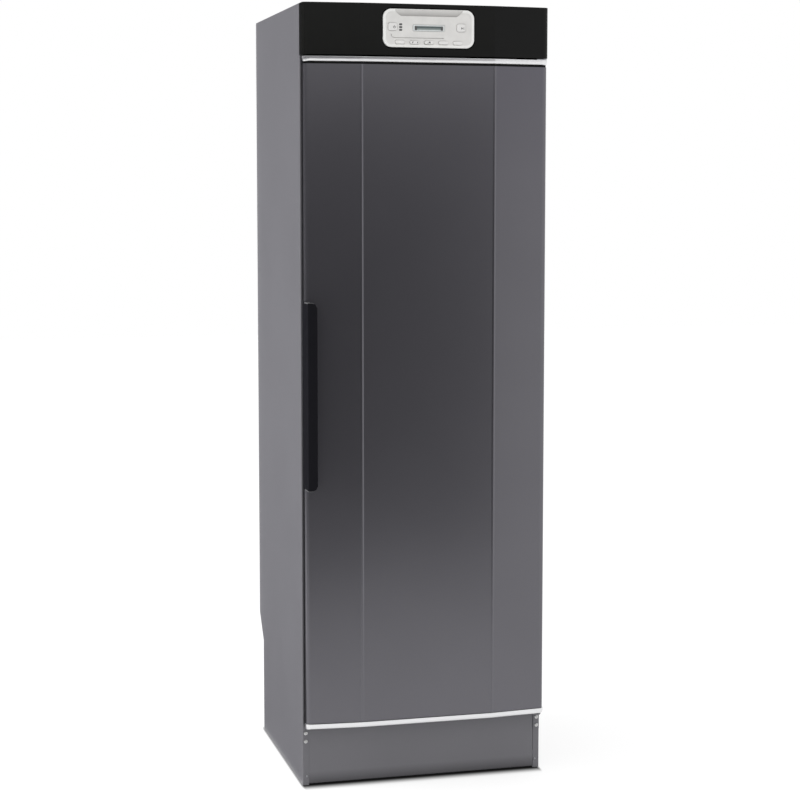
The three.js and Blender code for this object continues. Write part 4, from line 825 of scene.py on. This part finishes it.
def build_door():
    """What turns with the door."""
    piece("door_panel", door_panel(), "door_paint", "door", "door_skin", angle=24)
    for name, trim in (("top", TOP_TRIM), ("bottom", BOTTOM_TRIM)):
        piece(f"door_{name}_cap", door_trim(*trim), "silver_trim", "door", f"door_{name}_trim",
              cut=bush_tool(), angle=50)
    piece("door_handle", grip(), "grip_plastic", "door", "door_grip", cut=grip_hollow(), bevel=0.5,
          angle=40)
    ends = merged(grip_cap(True), grip_cap(False))
    piece("door_handle_ends", ends, "grip_end", "door", bevel=0.25, angle=40)
    piece("door_seal", door_gasket(), "gasket_rubber", "door", "door_gasket", angle=60)
    piece("door_inner_liner", door_liner(), "chamber_paint", "door", "door_liner", angle=40)
    refinish("black_paint", "door_frame", bevel=0.5)
    refinish("insulation", "door_insulation", bevel=0)
    refinish("nylon_white", "lower_hinge_bush", "upper_hinge_bush", bevel=0.2)


# ---- fascia and controls


def fascia():
    """Fascia across the front, softened at its top and bottom."""
    low, high = FASCIA_BOTTOM, HEIGHT
    return upward([(z, front_outline(HALF_WIDTH, inset, -FIT)) for z, inset in (
        (low, 0.9), (low + 0.3, 0.3), (low + 1, 0), (high - 1, 0), (high - 0.3, 0.3), (high, 0.9))])


def fascia_hollow():
    """Room inside the fascia, above the door frame and for the control plate."""
    wall = FASCIA_WALL
    inner = standing(front_outline(HALF_WIDTH, wall, 1), FASCIA_BOTTOM + wall, HEIGHT - wall)
    below = block((wall - HALF_WIDTH, DOOR_REAR, FASCIA_BOTTOM - 1),
                  (HALF_WIDTH - wall, 1, FASCIA_BOTTOM + 6))
    steps = ((-2.6, DOOR_FRONT - 5), (-2.6, DOOR_FRONT + 6))
    return merged(inner, below, stepped_plate(PLATE_SIZE, steps, (0, PLATE_MIDDLE), 10))


def opening_tool(size, x, z, margin=0.5, chamfer=0.7):
    """Hole through the plate with a chamfer at the well's face."""
    edge = margin + chamfer
    steps = ((-edge - 2, PLATE_FRONT - 3), (-edge, WELL_FACE - 0.1), (-margin, WELL_FACE + chamfer),
             (-margin, PLATE_BACK + 2))
    return stepped_plate(size, steps, (x, z))


def control_plate():
    """Plate with a sloped border and a well that carries the controls."""
    steps = ((3.2, PLATE_BACK), (3.2, PLATE_FRONT + 0.9), (6.2, PLATE_FRONT + 0.45),
             (8.6, WELL_FACE - 0.3), (10.2, WELL_FACE))
    return stepped_plate(PLATE_SIZE, steps, (0, PLATE_MIDDLE), 10)


def plate_rim():
    """Raised rounded rim round the plate; its finish, lighter than the plate's, is a painted
    highlight on the raised edge.
    """
    section = ((0, 7), (0, 2.0), (0.3, 0.9), (1.0, 0.25), (2.2, 0), (5.0, 0.05), (6.2, 0.3),
               (6.8, 0.8), (6.8, 7))
    steps = [(inset, PLATE_FRONT + depth) for inset, depth in section]
    return stepped_plate(PLATE_SIZE, steps, (0, PLATE_MIDDLE), 10, loop=True)


def brow_outline(gap=0.0):
    """Scoop under the plate's upper edge: its ends lean in towards the bottom."""
    width, height, radius = BROW_SIZE
    outline = round_rect(width - 2 * gap, height - 2 * gap, radius - gap, 0, BROW_Z)
    return [(x * (1 + 0.2 * (z - BROW_Z) / height), z) for x, z in outline]


def brow():
    """Floor of the scoop, which slopes in towards the ledge below."""
    top = BROW_Z + BROW_SIZE[1] / 2
    outline = brow_outline(0.05)
    face = [(x, PLATE_FRONT + 0.4 + (top - z) * 0.3, z) for x, z in outline]
    return loft([face, [(x, PLATE_BACK - 0.2, z) for x, z in outline]])


def step_tool():
    """Step line above the row of keys, turned up at its left end."""
    line = [(x, PLATE_Z - drop) for x, drop in (
        (-91, 12), (-90.4, 16.5), (-87.5, 19.6), (-83, 20.8), (36, 20.8))]
    return facing(bent_sheet(line, 1.4), WELL_FACE - 0.6, WELL_FACE + 3.2)


def button(size, x, z, face):
    """Button with a rounded rim and a slightly dished face, and the collar that keeps it in."""
    width, height, radius = size
    front = face - BUTTON_PROUD
    dish = min(height * 0.3, 3.6)
    steps = ((0, PLATE_BACK + 0.9), (0, front + 0.9), (0.25, front + 0.35), (0.8, front + 0.05),
             (1.3, front), (dish, front + 0.25))
    collar = round_rect(width + 3, height + 3, radius, x, z)
    return merged(stepped_plate(size, steps, (x, z)),
                  facing(collar, PLATE_BACK + FIT, PLATE_BACK + 1.9))


def inlay(y, *outlines):
    """Flat marks let into a face at y, a hair proud of it."""
    return merged(*(facing(outline, y - 0.08, y + 0.25) for outline in outlines))


def arc_mark(x, z, radius, width, start, end):
    """Stroke of that width along an arc."""
    return arc((x, z), radius, start, end, 14) + arc((x, z), radius - width, end, start, 14)


def slanted_mark(x, z, width, height, slant):
    """Upright stroke that leans to the right."""
    half, rise = width / 2, height / 2
    return [(x - half - slant, z - rise), (x + half - slant, z - rise),
            (x + half + slant, z + rise), (x - half + slant, z + rise)]


def build_marks():
    """Plain signs: on and off, start and pause, strokes on two keys, and three indicator lamps."""
    face = WELL_FACE - SIGN_RAISE
    x, z = BUTTONS["power_button"] + 4.2, PLATE_Z + 4
    power = inlay(face, arc_mark(x, z, 3.0, 1.1, 125, 415), round_rect(1.1, 3.6, 0.5, x, z + 1.8))
    piece("power_sign", power, "dark_marks", "power_button")
    x = BUTTONS["start_button"] + 4.8
    start = inlay(face, [(x - 4.6, z - 2.7), (x - 0.4, z), (x - 4.6, z + 2.7)],
                  *(round_rect(1.3, 5.2, 0.3, x + dx, z) for dx in (1.4, 4.0)))
    piece("start_sign", start, "dark_marks", "start_button")
    section = ((0, -1), (0, 0.2), (0.4, 0.5), (1.2, 0.65))
    steps = [(inset, WELL_FACE - rise) for inset, rise in section]
    lamps = [stepped_plate((7.2, 4.4, 1.6), steps, (-67.7, PLATE_Z + 4.1 + dz))
             for dz in (-6.4, 0, 6.4)]
    piece("indicator_lamps", merged(*lamps), "dark_marks", angle=50)
    face = PLATE_FRONT - SIGN_RAISE
    x, z = KEY_PLACES[1], KEY_Z - 0.6
    strokes = inlay(face, *(slanted_mark(x + dx, z, 2.0, 5.8, 1.1) for dx in (-5.0, 7.0)))
    piece("option_key_2_sign", strokes, "dark_marks", "option_key_2")
    x = KEY_PLACES[2]
    bars = inlay(face, round_rect(9, 2.2, 1.0, x, z - 1.6),
                 round_rect(4.6, 2.2, 1.0, x + 1.2, z + 1.4))
    piece("option_key_3_sign", bars, "dark_marks", "option_key_3")


def build_controls():
    """Fascia, control plate, display, buttons and keys."""
    piece("fascia_cover", fascia(), "fascia_plastic", stands_for="fascia", cut=fascia_hollow(),
          angle=24)
    scoop = facing(brow_outline(), PLATE_FRONT - 3, PLATE_BACK + 2)
    tools = [scoop, step_tool(), opening_tool(DISPLAY_SIZE, 0, DISPLAY_Z, 0.3, 1.6)]
    tools += [opening_tool(BUTTON_SIZE, x, BUTTON_Z) for x in BUTTONS.values()]
    tools += [opening_tool(KEY_SIZE, x, KEY_Z) for x in KEY_PLACES]
    piece("control_panel_plate", control_plate(), "plate_plastic", stands_for="control_plate",
          cut=merged(*tools), angle=28)
    piece("control_panel_rim", plate_rim(), "plate_rim", cut=scoop, angle=50)
    piece("control_panel_brow", brow(), "plate_brow")
    face = WELL_FACE + 0.3
    steps = ((0, face + 4), (0, face + 0.3), (0.3, face))
    piece("display_pane", stepped_plate(DISPLAY_SIZE, steps, (0, DISPLAY_Z)), "display_window",
          stands_for="display_window")
    piece("display_bar", inlay(face, round_rect(66.5, 8.6, 0.8, 0, DISPLAY_Z)), "display_bar")
    ends = [round_rect(5.4, 9.6, 1.2, x, DISPLAY_Z - 0.4) for x in (-31.3, 31.3)]
    piece("display_bar_ends", inlay(face - 0.1, *ends), "dark_marks")
    build_marks()
    buttons = [(name, (BUTTON_SIZE, x, BUTTON_Z, WELL_FACE)) for name, x in BUTTONS.items()]
    buttons += [(f"option_key_{i}", (KEY_SIZE, x, KEY_Z, PLATE_FRONT))
                for i, x in enumerate(KEY_PLACES, 1)]
    for name, place in buttons:
        piece(f"{name}_cap", button(*place), "button_plastic", name, name, angle=40)
    refinish("board", "control_board", bevel=0.2)


# ---- drying chamber


def rack(z):
    """Hanger rack: two cross rods, and the rods that run to the front, welded to them."""
    y0, y1 = RACK_PIVOT_Y, RACK_PIVOT_Y - RACK_DEPTH
    span = 2 * (RACK_HALF - ROD_RADIUS)
    rods = [rod((-half, y, z), (half, y, z), ROD_RADIUS)
            for half, y in ((RACK_PIVOT_HALF, y0), (RACK_HALF, y1))]
    for i in range(RACK_RODS):
        x = (i / (RACK_RODS - 1) - 0.5) * span
        rods.append(rod((x, y0, z), (x, y1, z), ROD_RADIUS * 0.96))
    return merged(*rods)


def lint_screen():
    """Woven screen in the filter's frame."""
    (fan_x, fan_y), z = FAN, CHAMBER_TOP - 5
    reach, pitch, wire = 73, 3.65, 0.3
    wires = []
    for i in range(-19, 20):
        x, y = fan_x + pitch * i, fan_y + pitch * i
        wires += [block((x - wire, fan_y - reach, z), (x + wire, fan_y + reach, z + 0.5)),
                  block((fan_x - reach, y - wire, z + 0.35), (fan_x + reach, y + wire, z + 0.85))]
    return merged(*wires)


def build_chamber():
    """Chamber sheets, hanger racks, lint filter, fan and heater."""
    refinish("chamber_paint", "chamber_left_wall", "chamber_right_wall", "chamber_rear_wall",
             "chamber_floor", "chamber_ceiling", bevel=0.3)
    for tier, z in RACK_HEIGHTS.items():
        body = "cabinet" if tier == "upper" else f"{tier}_rack"
        piece(f"{tier}_hanger_rack", rack(z), "rack_steel", body, f"{tier}_rack", angle=50)
        refinish("zinc_steel", f"{tier}_rack_bracket")
    places = [(x, RACK_PIVOT_Y + 23, z) for z in RACK_HEIGHTS.values() for x in (-190, 0, 190)]
    screws("bracket_screws", places, 3.6)
    piece("lint_screen", lint_screen(), "nylon_white", "filter")
    refinish("zinc_steel", "fan_housing", "heater_duct", bevel=0.3)
    refinish("motor_steel", "fan_motor", bevel=0.6)
    refinish("heater_steel", "heater_element", bevel=0)
    refinish("nylon_black", "fan_impeller", bevel=0.2)
    refinish("nylon_white", "lint_filter", "humidity_sensor", "door_sensor")


# ---- feet and services


def foot(x, y):
    """Levelling foot: ribbed rubber pad, washer face and stem."""
    profile = [(0.01, 0), (17.5, 0), (19, 0.4), (20, 1.6), (20, 4.6), (19.2, 6.2), (17.4, 7),
               (9, 7.2), (8.4, 9), (5, 9.2), (5, 41), (4.2, 41.8), (0.01, 41.8)]
    return turned(profile, (x, y, 0))


def spigot():
    """Duct spigot: flange, tube with a rolled rim and two grip rings."""
    profile = [(59.6, -22), (62, -22), (62, 0.3), (73, 0.3), (74, 0.8), (74, 1.8), (73, 2.3),
               (64, 2.3), (62.4, 3.6), (62, 6), (62, 12), (62.7, 12.8), (62, 13.8), (62, 18),
               (62.7, 18.8), (62, 19.8), (62, 26.6), (61.4, 27.7), (60.6, 28), (59.9, 27.6),
               (59.6, 26.8)]
    return turned(profile, (*SPIGOT, HEIGHT), "z", 96)


def gland():
    """Cable gland: hexagonal nut and a ribbed dome with a bore."""
    (x, z), wall = GLAND, RECESS_Y
    nut = arc(GLAND, 15, 0, 300, 5)
    nose = [(5.5, -11), (11, -11), (11, 12), (10.6, 12.6), (10.9, 13.6), (10.4, 14.6), (10.6, 15.8),
            (9.8, 17.2), (9.6, 18.6), (8.2, 20.6), (6.6, 21.8), (5.5, 22)]
    return merged(facing(nut, wall + FIT, wall + 11), turned(nose, (x, wall, z), "y", 40))


def build_services():
    """Levelling feet, exhaust spigot and cable gland."""
    for depth, y in (("front", FOOT_INSET), ("rear", RECESS_Y - FOOT_INSET)):
        for side, name in SIDES:
            piece(f"{depth}_{name}_levelling_foot", foot(side * FOOT_X, y), "foot_rubber",
                  stands_for=f"{depth}_{name}_foot", angle=40)
    piece("duct_spigot", spigot(), "spigot_plastic", stands_for="exhaust_spigot", angle=40)
    circle = arc(SPIGOT, 68, 45, 315, 3)
    screws("spigot_screws", [(x, y, HEIGHT + 2.2) for x, y in circle], 2.8, "z")
    piece("cable_gland", gland(), "nylon_black", stands_for="cable_inlet", bevel=0.3, angle=40)


# ---- studio (in metres)

FLOOR_REACH = 14
SHADE_WIDTH = 0.046  # of the contact shade
SHADE_DARKEST = 0.009
SHADE_NARROWING = 5.0  # at the sides
FLOOR_GREY = 0.36
FLOOR_GLOW = 0.73
WORLD_STRENGTH = 0.92
LAMP_PLACE = (-3.3, 0.35, 1.05)
LAMP_TARGET = (-0.3, 0, 0.9)
LAMP_SIZE = (1.6, 2.2)
LAMP_POWER = 103
FLAGS = (  # name, one end and the other on the floor, foot, head, strength
    ("front_flag", (-1.7, -2.05), (1.23, -2.85), 0.0, 1.87, 0.078),
    ("high_flag", (1.23, -2.85), (3.2, -2.85), 1.74, 2.6, 0.84),
    ("left_flag", (-4.0, -1.1), (-1.7, -1.1), 0.0, 1.95, 0.13),
    ("corner_flag", (-1.7, -2.05), (-1.7, -1.1), 0.2, 2.1, 0.08),
    ("side_flag", (-4.0, 1.6), (-4.0, -1.1), 0.0, 2.6, 0.12),
    ("rear_flag", (-1.3, 0.34), (-0.303, 0.34), 0.0, 2.4, 0.06),
)
LOW_FLAG = ((-1.2, -0.2), (-0.303, -0.2), (-0.303, 0.34), (-1.2, 0.34))  # beside the cabinet
CAMERA_PLACE = (-1.194, -4.5983, 1.416)
CAMERA_TILT = 5.273  # degrees down
CAMERA_TURN = 14.608  # degrees to the right
CAMERA_LENS = 85.741  # mm, for a sensor 36 mm wide
CAMERA_SHIFT = -0.04


class StageGraph(Graph):
    """Nodes that start empty and end in an output."""

    def __init__(self, owner):
        super().__init__(owner)
        self.nodes.clear()

    def seen_rays(self):
        """1 for camera, glossy and transmission rays, which see the background; 0 for the rest."""
        path = self.add("LightPath", {}).outputs
        glossy = self.calculated("MAXIMUM", path["Is Camera Ray"], path["Is Glossy Ray"])
        return self.calculated("MAXIMUM", glossy, path["Is Transmission Ray"])

    def ends_in(self, output, unseen, seen=None):
        """Gives the output one shader, or a second one for the rays that see the background."""
        surface = unseen.outputs[0]
        if seen:
            mix = self.add("MixShader", {0: self.seen_rays(), 1: surface, 2: seen.outputs[0]})
            surface = mix.outputs[0]
        self.add(output, {"Surface": surface})


def contact_shade(graph):
    """Nearly 0 under the cabinet, 1 from a few centimetres outside it."""
    calc = graph.calculated
    place = graph.add("TexCoord", {}).outputs["Object"]
    place = graph.add("SeparateXYZ", {0: place}).outputs
    middle = FRONT_PLANE + RECESS_Y / 2 * MM
    across = calc("ABSOLUTE", place["X"])
    along = calc("ABSOLUTE", calc("SUBTRACT", place["Y"], middle))
    beside = calc("MAXIMUM", calc("SUBTRACT", across, (HALF_WIDTH - 4) * MM), 0.0)
    beside = calc("MULTIPLY", beside, SHADE_NARROWING)
    beyond = calc("MAXIMUM", calc("SUBTRACT", along, (RECESS_Y / 2 - 6) * MM), 0.0)
    squares = calc("ADD", calc("MULTIPLY", beside, beside), calc("MULTIPLY", beyond, beyond))
    inputs = {"Value": calc("SQRT", squares), "From Max": SHADE_WIDTH, "To Min": SHADE_DARKEST}
    return graph.add("MapRange", inputs, interpolation_type="SMOOTHSTEP").outputs["Result"]


def floor_material():
    """Pale floor that reads white away from the object and keeps its contact shadow."""
    material = bpy.data.materials.new("studio_floor")
    graph = StageGraph(material)
    shade = contact_shade(graph)
    lit = graph.add("BsdfDiffuse", {"Color": (0.8, 0.8, 0.8, 1)})
    shadowed = graph.add("BsdfDiffuse", {"Color": graph.calculated("MULTIPLY", shade, FLOOR_GREY)})
    glow = graph.add("Emission", {"Strength": graph.calculated("MULTIPLY", shade, FLOOR_GLOW)})
    both = graph.add("AddShader", {0: shadowed.outputs[0], 1: glow.outputs[0]})
    graph.ends_in("OutputMaterial", lit, both)
    return material


def stage_plane(name, corners, material):
    """Flat part of the studio, in metres."""
    data = bpy.data.meshes.new(name)
    data.from_pydata(corners, [], [tuple(range(len(corners)))])
    data.materials.append(material)
    obj = placed(name, data)
    return obj


def card(name, corners, strength):
    """Dark board with a faint glow, seen only in the gloss of the object."""
    material = bpy.data.materials.new("studio_card")
    graph = StageGraph(material)
    glow = graph.add("Emission", {"Color": (0.92, 0.90, 1.0, 1), "Strength": strength})
    graph.ends_in("OutputMaterial", glow)
    board = stage_plane(name, corners, material)
    board.visible_camera = board.visible_diffuse = board.visible_shadow = False


def build_world():
    """Even light on the object, white for the rays that see the background."""
    world = bpy.data.worlds.new("studio")
    bpy.context.scene.world = world
    graph = StageGraph(world)
    white = (1, 1, 1, 1)
    light = graph.add("Background", {"Color": white, "Strength": WORLD_STRENGTH})
    seen = graph.add("Background", {"Color": white, "Strength": 1.0})
    graph.ends_in("OutputWorld", light, seen)


def build_lamp():
    """Soft lamp on the left, which isn't mirrored."""
    data = bpy.data.lights.new("left_lamp", "AREA")
    data.shape = "RECTANGLE"
    data.size, data.size_y = LAMP_SIZE
    data.energy = LAMP_POWER
    obj = placed("left_lamp", data)
    obj.location = LAMP_PLACE
    towards = Vector(LAMP_TARGET) - Vector(LAMP_PLACE)
    obj.rotation_euler = towards.to_track_quat("-Z", "Y").to_euler()
    obj.visible_glossy = False


def build_studio():
    """Floor, boards, world and lamp."""
    r = FLOOR_REACH
    stage_plane("floor", [(-r, -r, 0), (r, -r, 0), (r, r, 0), (-r, r, 0)], floor_material())
    for name, start, end, low, high, strength in FLAGS:
        card(name, [(*start, low), (*end, low), (*end, high), (*start, high)], strength)
    card("low_flag", [(x, y, 0.002) for x, y in LOW_FLAG], 0.1)
    build_world()
    build_lamp()


def build_camera():
    """Camera at the photograph's viewing angle."""
    data = bpy.data.cameras.new("camera")
    data.lens = CAMERA_LENS
    data.shift_y = CAMERA_SHIFT
    obj = placed("camera", data)
    obj.location = CAMERA_PLACE
    obj.rotation_euler = (math.radians(90 - CAMERA_TILT), 0, math.radians(-CAMERA_TURN))
    bpy.context.scene.camera = obj


build_camera()
build_shell()
build_door()
build_controls()
build_chamber()
build_services()
build_studio()
bpy.context.scene.view_settings.view_transform = "Standard"
